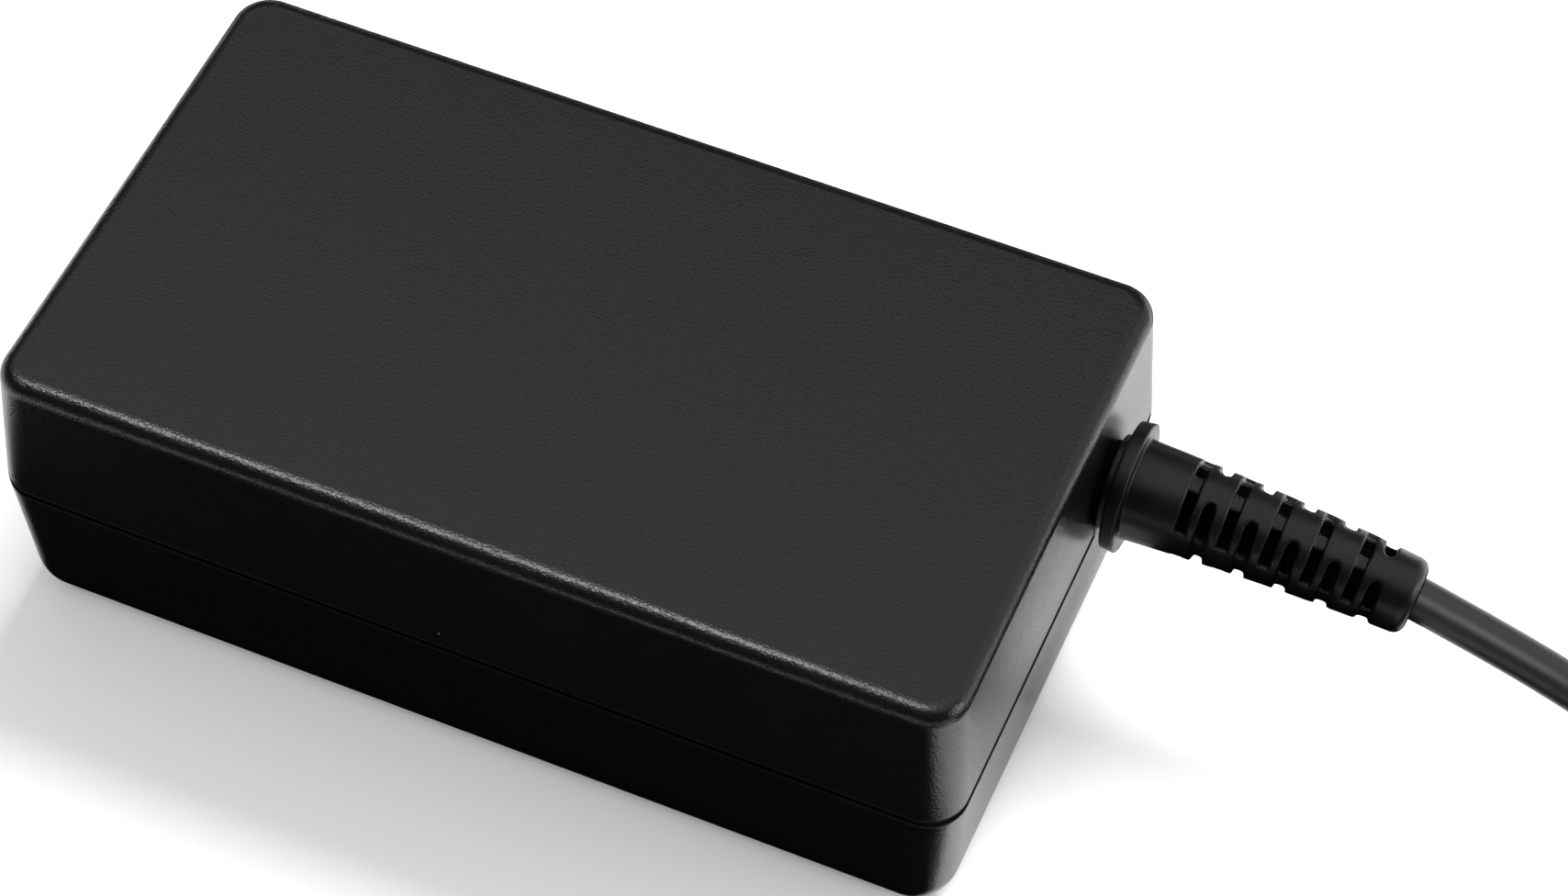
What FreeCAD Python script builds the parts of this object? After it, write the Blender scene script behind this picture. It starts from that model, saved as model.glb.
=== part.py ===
import FreeCAD, Part
import math
import os

# A laptop power adapter, in millimetres: a welded two-part case round a circuit board, a mains inlet
# in one end wall and a slotted strain relief with the low-voltage cord in the other.
# The origin lies on the resting face under the middle of the case. +X runs along the case to the cord,
# +Z is up and -Y is the long side that faces forwards.

V = FreeCAD.Vector

# Case
case_length = 105.0
case_width = 59.3
case_height = 35.7
seam_height = 18.65
seam_gap = 0.7
wall = 2.2
upper_lean = 1.0
lower_lean = 1.0
seam_corner_radius = 4.2
top_corner_radius = 4.0
bottom_corner_radius = 4.9
top_edge_radius = 1.85
bottom_edge_radius = 4.7
inner_top_edge_radius = 0.8
inner_bottom_edge_radius = 2.2
tongue_height = 1.6
tongue_thickness = 1.0
weld_clearance = 0.15

# Strain relief: a collar outside the wall, a neck through it and a retainer inside it
relief_y = 13.2
relief_z = 23.25
collar_radius = 6.9
collar_thickness = 1.6
collar_standoff = 1.1
collar_edge_radius = 0.2
groove_radius = 5.0
neck_radius = 4.1
neck_clearance = 0.1
retainer_size = 12.5
retainer_thickness = 2.5
retainer_clearance = 0.2

# Boot of the strain relief, which bends down a little along its length
boot_length = 30.0
boot_root_radius = 5.3
boot_tip_radius = 4.0
boot_bend_radius = 206.0
boot_tip_edge_radius = 1.25
boot_sections = 5
sleeve_wall = 0.7

# Slots of the boot: square-ended and round-ended levels take turns, four slots in each
slot_levels = 5
slot_pitch = 4.41
first_square_slot = 6.05
first_round_slot = 8.12
square_slot_width = 1.1
round_slot_width = 1.25
narrow_web_angle = 24.0
wide_web_angle = 44.0
narrow_web_recess = 0.4
square_web_turn = 3.5
round_web_turn = 0.0
slot_twist_per_mm = 0.76

# Low-voltage cord
cord_diameter = 4.5
cord_inner_length = 5.0
cord_exit_length = 0.5
cord_bend_length = 4.0
cord_exit_slope = 17.0
cord_first_run = 9.0
cord_last_run = 8.5

# Coil that holds the length of cord that is put away
coil_centre_x = 160.0
coil_centre_y = -18.0
coil_outer_radius = 31.0
coil_turn_gap = 0.6
coil_layers = 4
coil_layer_turns = 2.25
coil_last_turns = 2.0
coil_climb_turns = 0.5
least_coil_gap = 0.4

# Straps that tie the coil
strap_width = 8.0
strap_thickness = 0.8
strap_clearance = 0.2
strap_corner_radius = 2.0
strap_overlap = 11.0
strap_angles = (45.0, 225.0)

# Barrel plug
plug_x = 153.0
plug_y = -60.0
plug_grip_radius = 5.0
plug_grip_length = 20.0
plug_grip_edge_radius = 1.2
plug_groove_count = 4
plug_groove_width = 1.2
plug_groove_pitch = 2.8
plug_groove_depth = 0.5
plug_relief_length = 12.0
plug_relief_root_radius = 3.7
plug_relief_tip_wall = 0.65
plug_relief_groove_count = 3
plug_relief_groove_width = 1.0
plug_relief_groove_pitch = 3.0
plug_relief_groove_depth = 0.45
barrel_radius = 2.75
barrel_length = 10.0
barrel_wall = 0.45
insulator_wall = 0.55
plug_bore_radius = 1.25
contact_recess = 0.6
contact_depth = 8.0

# Mains inlet, a three-pin socket for a C13 connector
inlet_z = 17.8
inlet_width = 28.4
inlet_height = 20.6
inlet_depth = 17.7
inlet_recess = 0.2
inlet_edge_radius = 1.5
inlet_clearance = 0.15
cavity_width = 24.8
cavity_height = 16.8
cavity_depth = 16.0
cavity_chamfer = 4.6
inlet_flange_margin = 1.6
inlet_flange_thickness = 1.8
pin_pitch = 7.0
pin_offset = 2.0
pin_width = 2.0
pin_height = 4.0
live_pin_reach = 13.5
earth_pin_reach = 14.5
pin_tail_length = 3.2
pin_tail_thickness = 0.8

# Circuit board and the posts that carry it
board_thickness = 1.6
board_height = 6.4
board_side_gap = 1.0
board_end_gap = 1.0
post_radius = 3.0
post_inset = 4.2
board_corner_radius = 1.5
post_pin_radius = 1.2
post_hole_clearance = 0.2
hold_down_radius = 2.0
hold_down_gap = 0.1
sheet_thickness = 0.4
sheet_gap = 0.8
sheet_corner_radius = 2.0

# Parts on the mains side. Edge gaps are to the long edges of the board
fuse_length = 8.4
fuse_width = 4.2
fuse_height = 7.6
fuse_edge_gap = 2.8
fuse_edge_radius = 0.6
x_capacitor_length = 17.5
x_capacitor_width = 8.5
x_capacitor_height = 14.5
x_capacitor_edge_gap = 1.7
x_capacitor_edge_radius = 0.5
choke_radius = 9.5
choke_bore_radius = 5.0
choke_thickness = 8.0
choke_y = -2.0
winding_build = 1.0
winding_angle = 130.0
bridge_length = 14.6
bridge_width = 3.6
bridge_height = 10.8
bridge_edge_gap = 2.6
bridge_edge_radius = 0.5
bulk_radius = 9.0
bulk_length = 25.0
bulk_y = -2.0
bulk_edge_radius = 1.2

# Transformer, in the middle of the board
core_length = 26.5
core_width = 19.0
core_height = 21.0
core_back = 3.4
core_leg_radius = 6.0
core_side_thickness = 3.6
bobbin_wall = 0.9
bobbin_flange_radius = 9.3
bobbin_clearance = 0.25
winding_clearance = 0.2

# Heat sinks and the packages bolted to them
sink_thickness = 1.8
sink_roof_gap = 0.5
sink_length = 28.0
sink_side_inset = 2.2
package_width = 10.0
package_body_height = 9.0
package_thickness = 4.4
package_tab_height = 15.2
package_tab_thickness = 1.3
package_leg_width = 0.8
package_leg_pitch = 2.54
package_lift = 3.0
leg_root = 0.5
transistor_offset = 2.0
rectifier_offset = 5.0

# Parts on the low-voltage side
output_can_radius = 5.0
output_can_height = 19.5
output_can_y = (-10.5, 0.8)
output_can_edge_radius = 0.8
output_choke_radius = 3.5
output_choke_height = 11.0
output_choke_edge_gap = 0.8
output_choke_edge_radius = 0.5
opto_length = 4.6
opto_width = 6.4
opto_height = 3.5
opto_gap = 1.5
opto_y = 14.0
opto_edge_radius = 0.3
y_capacitor_radius = 4.5
y_capacitor_thickness = 3.6
y_capacitor_gap = 1.0
y_capacitor_sink_gap = 2.0
y_capacitor_edge_radius = 1.2
y_capacitor_lead_pitch = 5.0
lead_gap = 2.0
chip_length = 4.9
chip_width = 3.9
chip_height = 1.5
chip_x = 33.0
chip_y = 14.0

# Wires from the cord to the board
wire_radius = 0.9
wire_pitch_in_cord = 2.2
wire_pitch_at_board = 4.8
wire_first_run = 4.8
wire_drop = 8.8
wire_drop_run = 1.6
wire_hole_clearance = 0.15

# Film and aluminium sheet over the parts
film_thickness = 0.3
spreader_thickness = 0.6
spreader_depth = 9.0
spreader_end_gap = 9.0
spreader_side_gap = 0.2

half_length = case_length / 2
half_width = case_width / 2
cord_radius = cord_diameter / 2
sleeve_radius = cord_radius + sleeve_wall
coil_step = cord_diameter + coil_turn_gap
coil_bulge = coil_step * coil_climb_turns / 4
plug_relief_tip_radius = cord_radius + plug_relief_tip_wall
roof_z = case_height - wall
film_bottom = roof_z - spreader_thickness - film_thickness
along_x = V(1, 0, 0)
along_y = V(0, 1, 0)
along_z = V(0, 0, 1)


# How far the walls lean in at a height
def lean_at(z):
    if z > seam_height:
        return upper_lean * (z - seam_height) / (case_height - seam_height)
    return lower_lean * (seam_height - z) / seam_height


inlet_lean = max(lean_at(inlet_z - inlet_height / 2), lean_at(inlet_z + inlet_height / 2))
inlet_mouth = inlet_lean + inlet_recess - half_length
inlet_floor = inlet_mouth + cavity_depth
inlet_back = inlet_mouth + inlet_depth
board_bottom = board_height
board_top = board_height + board_thickness
board_start = inlet_back + board_end_gap
board_end = half_length - wall - lower_lean - board_end_gap
board_half_width = half_width - wall - lower_lean - board_side_gap
sink_face = board_half_width - sink_side_inset - sink_thickness


# Centres of parts set out in a row with even gaps
def row_centres(start, stop, lengths):
    gap = (stop - start - sum(lengths)) / (len(lengths) + 1)
    centres = []
    for length in lengths:
        centres.append(start + gap + length / 2)
        start += gap + length
    return centres


# Three rows along the board: the middle one, and one beside each long edge between the posts
choke_x, bulk_x, transformer_x, output_can_x = row_centres(
    inlet_back + pin_tail_length, board_end,
    [choke_thickness + 2 * winding_build, 2 * bulk_radius, core_length, 2 * output_can_radius])
edge_row_start = board_start + post_inset + hold_down_radius
edge_row_stop = board_end - post_inset - hold_down_radius
fuse_x, bridge_x, secondary_sink_x = row_centres(
    edge_row_start, edge_row_stop, [fuse_length, bridge_length, sink_length])
x_capacitor_x, primary_sink_x, output_choke_x = row_centres(
    edge_row_start, edge_row_stop, [x_capacitor_length, sink_length, 2 * output_choke_radius])
transistor_x = primary_sink_x + transistor_offset
rectifier_x = secondary_sink_x + rectifier_offset


def box(x0, x1, y0, y1, z0, z1):
    return Part.makeBox(x1 - x0, y1 - y0, z1 - z0, V(x0, y0, z0))


def centred_box(x, y, z, length, width, height):
    return box(x - length / 2, x + length / 2, y - width / 2, y + width / 2, z, z + height)


def edges_along(axis, solid):
    return [e for e in solid.Edges if len(e.Vertexes) == 2
            and axis.cross(e.Vertexes[1].Point - e.Vertexes[0].Point).Length < 1e-6]


def rim_edges(solid, z):
    return [e for e in solid.Edges if all(abs(v.Z - z) < 1e-6 for v in e.Vertexes)]


def export(name, *solids):
    shape = solids[0] if len(solids) == 1 else Part.makeCompound(list(solids))
    shape.exportStep("parts/%s.step" % name)


def corner_at(z):
    if z > seam_height:
        share = (z - seam_height) / (case_height - seam_height)
        return seam_corner_radius + share * (top_corner_radius - seam_corner_radius)
    share = (seam_height - z) / seam_height
    return seam_corner_radius + share * (bottom_corner_radius - seam_corner_radius)


# A rounded rectangle, from its half sizes and corner radius
def rounded_wire(x, y, radius, z):
    edges = []
    corners = [(x - radius, y - radius, 0), (radius - x, y - radius, 90),
               (radius - x, radius - y, 180), (x - radius, radius - y, 270)]
    ends = []
    for cx, cy, turn in corners:
        points = []
        for angle in (turn, turn + 45, turn + 90):
            a = math.radians(angle)
            points.append(V(cx + radius * math.cos(a), cy + radius * math.sin(a), z))
        ends.append(points)
    for i, points in enumerate(ends):
        edges.append(Part.Arc(*points).toShape())
        edges.append(Part.LineSegment(points[2], ends[(i + 1) % 4][0]).toShape())
    return Part.Wire(edges)


def case_outline(z, inset):
    lean = lean_at(z)
    radius = corner_at(z) - inset
    return rounded_wire(half_length - inset - lean, half_width - inset - lean, radius, z)


# Half of the case as a block from the seam to a far face, whose rim is rounded
def case_block(far_z, inset, edge_radius):
    block = Part.makeLoft([case_outline(seam_height, inset), case_outline(far_z, inset)], True, True)
    return block.makeFillet(edge_radius, rim_edges(block, far_z))


# A prism inside the walls at the seam, for the weld tongue and its rebate
def seam_prism(inset, z0, z1):
    outline = rounded_wire(half_length - inset, half_width - inset, seam_corner_radius - inset, z0)
    return Part.Face(outline).extrude(V(0, 0, z1 - z0))


def beyond_case(z0, z1):
    return box(-case_length, case_length, -case_width, case_width, z0, z1)


def post_places():
    x0, x1 = board_start + post_inset, board_end - post_inset
    y = board_half_width - post_inset
    return [(x, s * y) for x in (x0, x1) for s in (-1, 1)]


def inlet_hole():
    hole = box(-half_length - wall, -half_length + 2 * wall,
               -inlet_width / 2 - inlet_clearance, inlet_width / 2 + inlet_clearance,
               inlet_z - inlet_height / 2 - inlet_clearance, inlet_z + inlet_height / 2 + inlet_clearance)
    return hole.makeFillet(inlet_edge_radius + inlet_clearance, edges_along(along_x, hole))


# The way through the end wall for the relief's neck: round on top, flat on the lower shell's lip
def relief_slot(clearance):
    x0, x1 = half_length - 2 * wall, half_length + wall
    reach = neck_radius + clearance
    bottom = seam_height - seam_gap / 2
    slot = Part.makeCylinder(reach, x1 - x0, V(x0, relief_y, relief_z), along_x)
    return slot.fuse(box(x0, x1, relief_y - reach, relief_y + reach, bottom, relief_z))


def lower_shell():
    lip = seam_height - seam_gap / 2
    shell = case_block(0, 0, bottom_edge_radius)
    shell = shell.cut(case_block(wall, wall, inner_bottom_edge_radius))
    shell = shell.cut(beyond_case(lip, case_height))
    tongue_top = seam_height + tongue_height
    tongue_root = lip - tongue_height
    tongue = seam_prism(wall - tongue_thickness, tongue_root, tongue_top)
    tongue = tongue.cut(seam_prism(wall, tongue_root, tongue_top))
    shell = shell.fuse(tongue)
    for x, y in post_places():
        post = Part.makeCylinder(post_radius, board_bottom - wall / 2, V(x, y, wall / 2))
        pin = Part.makeCylinder(post_pin_radius, board_top - wall, V(x, y, wall))
        shell = shell.fuse([post, pin])
    return shell.cut([inlet_hole(), relief_slot(neck_clearance)]).removeSplitter()


def upper_shell():
    shell = case_block(case_height, 0, top_edge_radius)
    shell = shell.cut(case_block(roof_z, wall, inner_top_edge_radius))
    shell = shell.cut(beyond_case(0, seam_height + seam_gap / 2))
    rebate_inset = wall - tongue_thickness - weld_clearance
    rebate_top = seam_height + tongue_height + weld_clearance
    shell = shell.cut(seam_prism(rebate_inset, 0, rebate_top))
    foot = board_top + hold_down_gap
    for x, y in post_places():
        shell = shell.fuse(Part.makeCylinder(hold_down_radius, roof_z + wall / 2 - foot, V(x, y, foot)))
    return shell.cut([inlet_hole(), relief_slot(neck_clearance)]).removeSplitter()


# Frame of the bent boot at a length from the collar's face: +X along it, +Z away from the bend
collar_face = half_length + collar_standoff + collar_thickness


def boot_frame(along):
    turn = along / boot_bend_radius
    place = V(collar_face + boot_bend_radius * math.sin(turn), relief_y,
              relief_z - boot_bend_radius * (1 - math.cos(turn)))
    return FreeCAD.Placement(place, FreeCAD.Rotation(along_y, math.degrees(turn)))


def boot_radius(along):
    return boot_root_radius + (boot_tip_radius - boot_root_radius) * along / boot_length


# A point round the boot: the angle goes from straight up towards the front side
def around(radius, degrees, x=0.0):
    a = math.radians(degrees)
    return V(x, -radius * math.sin(a), radius * math.cos(a))


# A sector of a ring round the X axis, with half its width on each side of the middle plane
def sector_prism(width, inner, outer, start, stop):
    middle = (start + stop) / 2
    x = -width / 2
    edges = [Part.Arc(around(outer, start, x), around(outer, middle, x), around(outer, stop, x)).toShape(),
             Part.LineSegment(around(outer, stop, x), around(inner, stop, x)).toShape(),
             Part.Arc(around(inner, stop, x), around(inner, middle, x), around(inner, start, x)).toShape(),
             Part.LineSegment(around(inner, start, x), around(outer, start, x)).toShape()]
    return Part.Face(Part.Wire(edges)).extrude(along_x * width)


def ring_sector(along, width, inner, outer, start, stop):
    sector = sector_prism(width, inner, outer, start, stop)
    sector.Placement = boot_frame(along)
    return sector


def slot_sides(middle):
    half_narrow, half_wide = narrow_web_angle / 2, wide_web_angle / 2
    sides = []
    for turn in (0, 180):
        sides.append((middle + turn + half_narrow, middle + turn + 90 - half_wide))
        sides.append((middle + turn + 90 + half_wide, middle + turn + 180 - half_narrow))
    return sides


# Cuts that set the narrow webs of a level back a little
def set_back_webs(along, width, middle, half_span):
    floor = boot_radius(along) - narrow_web_recess
    return [ring_sector(along, width, floor, boot_root_radius + 1,
                        middle + turn - half_span, middle + turn + half_span) for turn in (0, 180)]


def square_slots(along):
    middle = square_web_turn + slot_twist_per_mm * (along - first_square_slot)
    reach = boot_root_radius + 1
    cuts = [ring_sector(along, square_slot_width, sleeve_radius, reach, a, b) for a, b in slot_sides(middle)]
    return cuts + set_back_webs(along, square_slot_width, middle, 90 - wide_web_angle / 2)


# Round-ended slots, whose narrow webs are a quarter turn on from those of the square ones
def round_slots(along):
    middle = round_web_turn + 90 + slot_twist_per_mm * (along - first_round_slot)
    reach = boot_root_radius + 1
    end_radius = round_slot_width / 2
    end_angle = math.degrees(end_radius / boot_radius(along))
    cuts = []
    for a, b in slot_sides(middle):
        cuts.append(ring_sector(along, round_slot_width, sleeve_radius, reach, a + end_angle, b - end_angle))
        for angle in (a + end_angle, b - end_angle):
            foot = around(sleeve_radius, angle)
            end = Part.makeCylinder(end_radius, reach - sleeve_radius, foot, around(1, angle))
            end.Placement = boot_frame(along).multiply(end.Placement)
            cuts.append(end)
    return cuts + set_back_webs(along, round_slot_width, middle, narrow_web_angle / 2 + end_angle)


def boot_body():
    circles = []
    for i in range(boot_sections):
        along = boot_length * i / (boot_sections - 1)
        circle = Part.Wire(Part.Circle(V(), along_x, boot_radius(along)).toShape())
        circle.Placement = boot_frame(along).multiply(circle.Placement)
        circles.append(circle)
    body = Part.makeLoft(circles, True, False)
    tip = boot_frame(boot_length).Base
    tip_edge = [e for e in body.Edges if e.isClosed() and (e.CenterOfMass - tip).Length < boot_tip_radius / 2]
    return body.makeFillet(boot_tip_edge_radius, tip_edge)


def strain_relief(cord_stretch):
    collar_back = collar_face - collar_thickness
    collar = Part.makeCylinder(collar_radius, collar_thickness, V(collar_back, relief_y, relief_z), along_x)
    collar = collar.makeFillet(collar_edge_radius, [e for e in collar.Edges if e.Length > collar_radius])
    groove_start = half_length + neck_clearance
    groove = Part.makeCylinder(groove_radius, collar_face - groove_start,
                               V(groove_start, relief_y, relief_z), along_x)
    retainer_front = half_length - wall - lean_at(relief_z + retainer_size / 2) - retainer_clearance
    half = retainer_size / 2
    retainer = box(retainer_front - retainer_thickness, retainer_front,
                   relief_y - half, relief_y + half, relief_z - half, relief_z + half)
    neck = relief_slot(0).common(box(retainer_front, groove_start, -half_width, half_width, 0, case_height))
    body = boot_body()
    cuts = []
    for level in range(slot_levels):
        cuts += square_slots(first_square_slot + level * slot_pitch)
        cuts += round_slots(first_round_slot + level * slot_pitch)
    body = body.cut(cuts)
    return body.fuse([collar, groove, neck, retainer]).cut(cord_stretch).removeSplitter()


# Arc from a point along a direction to another point, as its three points
def arc_through(start, corner, stop):
    middle = (start + stop) * 0.5
    half_turn = (math.pi - (start - corner).getAngle(stop - corner)) / 2
    bulge = math.cos(half_turn) / (1 + math.cos(half_turn))
    return Part.Arc(start, middle + (corner - middle) * bulge, stop).toShape()


# Straight runs through the points, with the largest tangent arc that each corner's runs allow
def rounded_route(name, points):
    edges = []
    here = points[0]
    radii = []
    for before, corner, after in zip(points, points[1:], points[2:]):
        back, ahead = (before - corner), (after - corner)
        turn = math.pi - back.getAngle(ahead)
        reach = 0.45 * min(back.Length, ahead.Length)
        radii.append(reach / math.tan(turn / 2))
        start = corner + back.normalize() * reach
        stop = corner + ahead.normalize() * reach
        edges.append(Part.LineSegment(here, start).toShape())
        edges.append(arc_through(start, corner, stop))
        here = stop
    edges.append(Part.LineSegment(here, points[-1]).toShape())
    print(name, "radii:", ", ".join("%.1f" % r for r in radii))
    return Part.Wire(edges)


def tube(name, path, radius):
    start = path.Edges[0]
    heading = start.tangentAt(start.FirstParameter)
    profile = Part.Wire(Part.Circle(start.valueAt(start.FirstParameter), heading, radius).toShape())
    solid = path.makePipeShell([profile], True, False)
    expected = math.pi * radius ** 2 * path.Length
    print("%s: length %.1f, volume %.4f of section times length" % (name, path.Length, solid.Volume / expected))
    return solid


# The jacket inside the relief: straight through the collar, along the boot's bend, then down to its exit
def jacket_path():
    inner_x = half_length - wall - cord_inner_length
    bend_start = boot_length - cord_bend_length
    start = V(inner_x, relief_y, relief_z)
    gate = boot_frame(0).Base
    middle = boot_frame(bend_start / 2).Base
    knee_frame = boot_frame(bend_start)
    knee = knee_frame.Base
    slope = math.radians(cord_exit_slope)
    knee_slope = bend_start / boot_bend_radius
    radius = cord_bend_length / (slope - knee_slope)
    corner = knee + knee_frame.Rotation.multVec(along_x) * (radius * math.tan((slope - knee_slope) / 2))
    heading = V(math.cos(slope), 0, -math.sin(slope))
    stop = corner + heading * (corner - knee).Length
    leaves = stop + heading * cord_exit_length
    edges = [Part.LineSegment(start, gate).toShape(), Part.Arc(gate, middle, knee).toShape(),
             arc_through(knee, corner, stop), Part.LineSegment(stop, leaves).toShape()]
    return Part.Wire(edges), leaves, heading


# Free cord from the relief down to the floor and along it to the coil
def lead_points(leaves, heading, coil_entry, coil_heading):
    return [leaves,
            leaves + heading * cord_first_run,
            V(102.2, 13.15, 15.3),
            V(111.0, 13.0, 11.4),
            V(119.5, 13.1, 7.2),
            V(128.0, 13.0, 3.9),
            V(138.0, 12.9, 2.55),
            coil_entry - coil_heading * cord_last_run,
            coil_entry]


# Free cord from the top of the coil down to the plug on the floor
def tail_points(coil_exit, coil_heading):
    return [coil_exit,
            coil_exit + coil_heading * cord_first_run,
            V(189.9, -41.5, 14.6),
            V(185.6, -51.0, 10.6),
            V(176.5, -57.6, 6.6),
            V(plug_x + 11.5, plug_y, plug_grip_radius),
            V(plug_x, plug_y, plug_grip_radius)]


# Radius and height of the coil's line after some turns: layers spiral in and out by turns, and each
# climb takes the turns in which the spiral reverses
def coil_line(turns):
    radius = coil_outer_radius
    height = strap_thickness + strap_clearance + cord_radius
    inward = 1
    left = turns
    for layer in range(coil_layers):
        last = layer == coil_layers - 1
        layer_turns = coil_last_turns if last else coil_layer_turns
        if left <= layer_turns or last:
            return radius - inward * coil_step * left, height
        left -= layer_turns
        radius -= inward * coil_step * layer_turns
        if left <= coil_climb_turns:
            share = left / coil_climb_turns
            rise = coil_step * share * share * (3 - 2 * share)
            return radius - inward * coil_step * coil_climb_turns * share * (1 - share), height + rise
        left -= coil_climb_turns
        height += coil_step
        inward = -inward


def coil_point(turns):
    radius, height = coil_line(turns)
    angle = math.pi / 2 - 2 * math.pi * turns
    return V(coil_centre_x + radius * math.cos(angle), coil_centre_y + radius * math.sin(angle), height)


def coil_heading(turns):
    step = 1e-4
    return (coil_point(turns + step) - coil_point(turns - step)).normalize()


# Two tangent arcs from a point and heading to another point and heading
def biarc(start, start_heading, stop, stop_heading):
    across = stop - start
    both = start_heading + stop_heading
    spread = 2 - 2 * start_heading.dot(stop_heading)
    slope = across.dot(both)
    reach = (math.sqrt(slope * slope + spread * across.dot(across)) - slope) / spread
    first = start + start_heading * reach
    second = stop - stop_heading * reach
    middle = (first + second) * 0.5
    return [arc_through(start, first, middle), arc_through(middle, second, stop)]


def coil_turns():
    return (coil_layers - 1) * (coil_layer_turns + coil_climb_turns) + coil_last_turns


def coil_path():
    quarter_turns = round(coil_turns() * 4)
    entry, entry_heading = coil_point(0), coil_heading(0)
    leave, leave_heading = coil_point(coil_turns()), coil_heading(coil_turns())
    before = entry - entry_heading * cord_diameter
    after = leave + leave_heading * cord_diameter
    edges = [Part.LineSegment(before, entry).toShape()]
    for i in range(quarter_turns):
        a, b = i * coil_turns() / quarter_turns, (i + 1) * coil_turns() / quarter_turns
        edges += biarc(coil_point(a), coil_heading(a), coil_point(b), coil_heading(b))
    edges.append(Part.LineSegment(leave, after).toShape())
    return Part.Wire(edges), before, entry_heading, after, leave_heading


def print_coil_gap(path):
    spacing = cord_diameter / 3
    points = path.discretize(Distance=spacing)
    skip = int(3 * cord_diameter / spacing)
    gap = min((p - q).Length for i, p in enumerate(points) for q in points[i + skip:]) - cord_diameter
    print("coil: least gap to itself %.2f, which has to be over %.1f" % (gap, least_coil_gap))


def strap(angle):
    hollow = coil_outer_radius - coil_step * coil_layer_turns - coil_bulge - cord_radius
    near = math.sqrt(hollow ** 2 - (strap_width / 2) ** 2) - strap_clearance
    far = coil_outer_radius + coil_bulge + cord_radius + strap_clearance
    low = strap_thickness
    high = low + 2 * strap_clearance + cord_diameter + coil_step * (coil_layers - 1)
    t = strap_thickness

    def loop(grow, radius):
        solid = box(near - grow, far + grow, -strap_width / 2, strap_width / 2, low - grow, high + grow)
        return solid.makeFillet(radius, edges_along(along_y, solid))

    band = loop(t, strap_corner_radius + t).cut(loop(0, strap_corner_radius))
    middle = (near + far) / 2
    flap = box(middle - strap_overlap / 2, middle + strap_overlap / 2, -strap_width / 2, strap_width / 2,
               high + t, high + 2 * t)
    band = band.fuse(flap).removeSplitter()
    band.rotate(V(), along_z, angle)
    band.translate(V(coil_centre_x, coil_centre_y, 0))
    return band


# Ring grooves round the plug's axis, which runs towards -X
def plug_grooves(start_x, count, pitch, width, floor_radius):
    cuts = []
    for i in range(count):
        base = V(start_x - i * pitch, plug_y, plug_grip_radius)
        ring = Part.makeCylinder(plug_grip_radius + 1, width, base, -along_x)
        cuts.append(ring.cut(Part.makeCylinder(floor_radius, width, base, -along_x)))
    return cuts


def plug_grip():
    grip_back = plug_x - plug_relief_length
    relief = Part.makeCone(plug_relief_tip_radius, plug_relief_root_radius, plug_relief_length,
                           V(plug_x, plug_y, plug_grip_radius), -along_x)
    relief = relief.cut(plug_grooves(plug_x - plug_relief_groove_pitch, plug_relief_groove_count,
                                     plug_relief_groove_pitch, plug_relief_groove_width,
                                     plug_relief_tip_radius - plug_relief_groove_depth))
    grip = Part.makeCylinder(plug_grip_radius, plug_grip_length, V(grip_back, plug_y, plug_grip_radius),
                             -along_x)
    grip = grip.makeFillet(plug_grip_edge_radius, [e for e in grip.Edges if e.Length > plug_grip_radius * 4])
    groove_span = (plug_groove_count - 1) * plug_groove_pitch + plug_groove_width
    grip = grip.cut(plug_grooves(grip_back - (plug_grip_length - groove_span) / 2, plug_groove_count,
                                 plug_groove_pitch, plug_groove_width,
                                 plug_grip_radius - plug_groove_depth))
    return relief.fuse(grip).removeSplitter()


def plug_face_x():
    return plug_x - plug_relief_length - plug_grip_length


def plug_ring(length, inner, outer):
    base = V(plug_face_x(), plug_y, plug_grip_radius)
    ring = Part.makeCylinder(outer, length, base, -along_x)
    return ring.cut(Part.makeCylinder(inner, length, base, -along_x))


def plug_barrel():
    return plug_ring(barrel_length, barrel_radius - barrel_wall, barrel_radius)


def plug_insulator():
    length = barrel_length - contact_recess
    return plug_ring(length, plug_bore_radius + insulator_wall, barrel_radius - barrel_wall)


def plug_inner_contact():
    length = barrel_length - 2 * contact_recess
    base = V(plug_face_x(), plug_y, plug_grip_radius)
    contact = Part.makeCylinder(plug_bore_radius + insulator_wall, length, base, -along_x)
    mouth = base - along_x * length
    return contact.cut(Part.makeCylinder(plug_bore_radius, contact_depth, mouth, along_x))


# Mains inlet: a socket body that comes through the end wall, and a flange behind that wall
def inlet_block(x, length, width, height):
    y = width / 2
    return box(x, x + length, -y, y, inlet_z - height / 2, inlet_z + height / 2)


# The socket's hollow, with its two upper corners cut off
def inlet_cavity():
    y, z = cavity_width / 2, cavity_height / 2
    corners = [(-y, -z), (y, -z), (y, z - cavity_chamfer), (y - cavity_chamfer, z),
               (cavity_chamfer - y, z), (-y, z - cavity_chamfer), (-y, -z)]
    outline = Part.makePolygon([V(inlet_mouth, a, inlet_z + b) for a, b in corners])
    return Part.Face(outline).extrude(along_x * cavity_depth)


def ac_inlet():
    body = inlet_block(inlet_mouth, inlet_depth, inlet_width, inlet_height)
    body = body.makeFillet(inlet_edge_radius, edges_along(along_x, body))
    flange_front = wall + max(upper_lean, lower_lean) + inlet_clearance - half_length
    margin = 2 * inlet_flange_margin
    flange = inlet_block(flange_front, inlet_flange_thickness, inlet_width + margin, inlet_height + margin)
    return body.fuse(flange).cut([inlet_cavity()] + inlet_pins()).removeSplitter()


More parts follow.
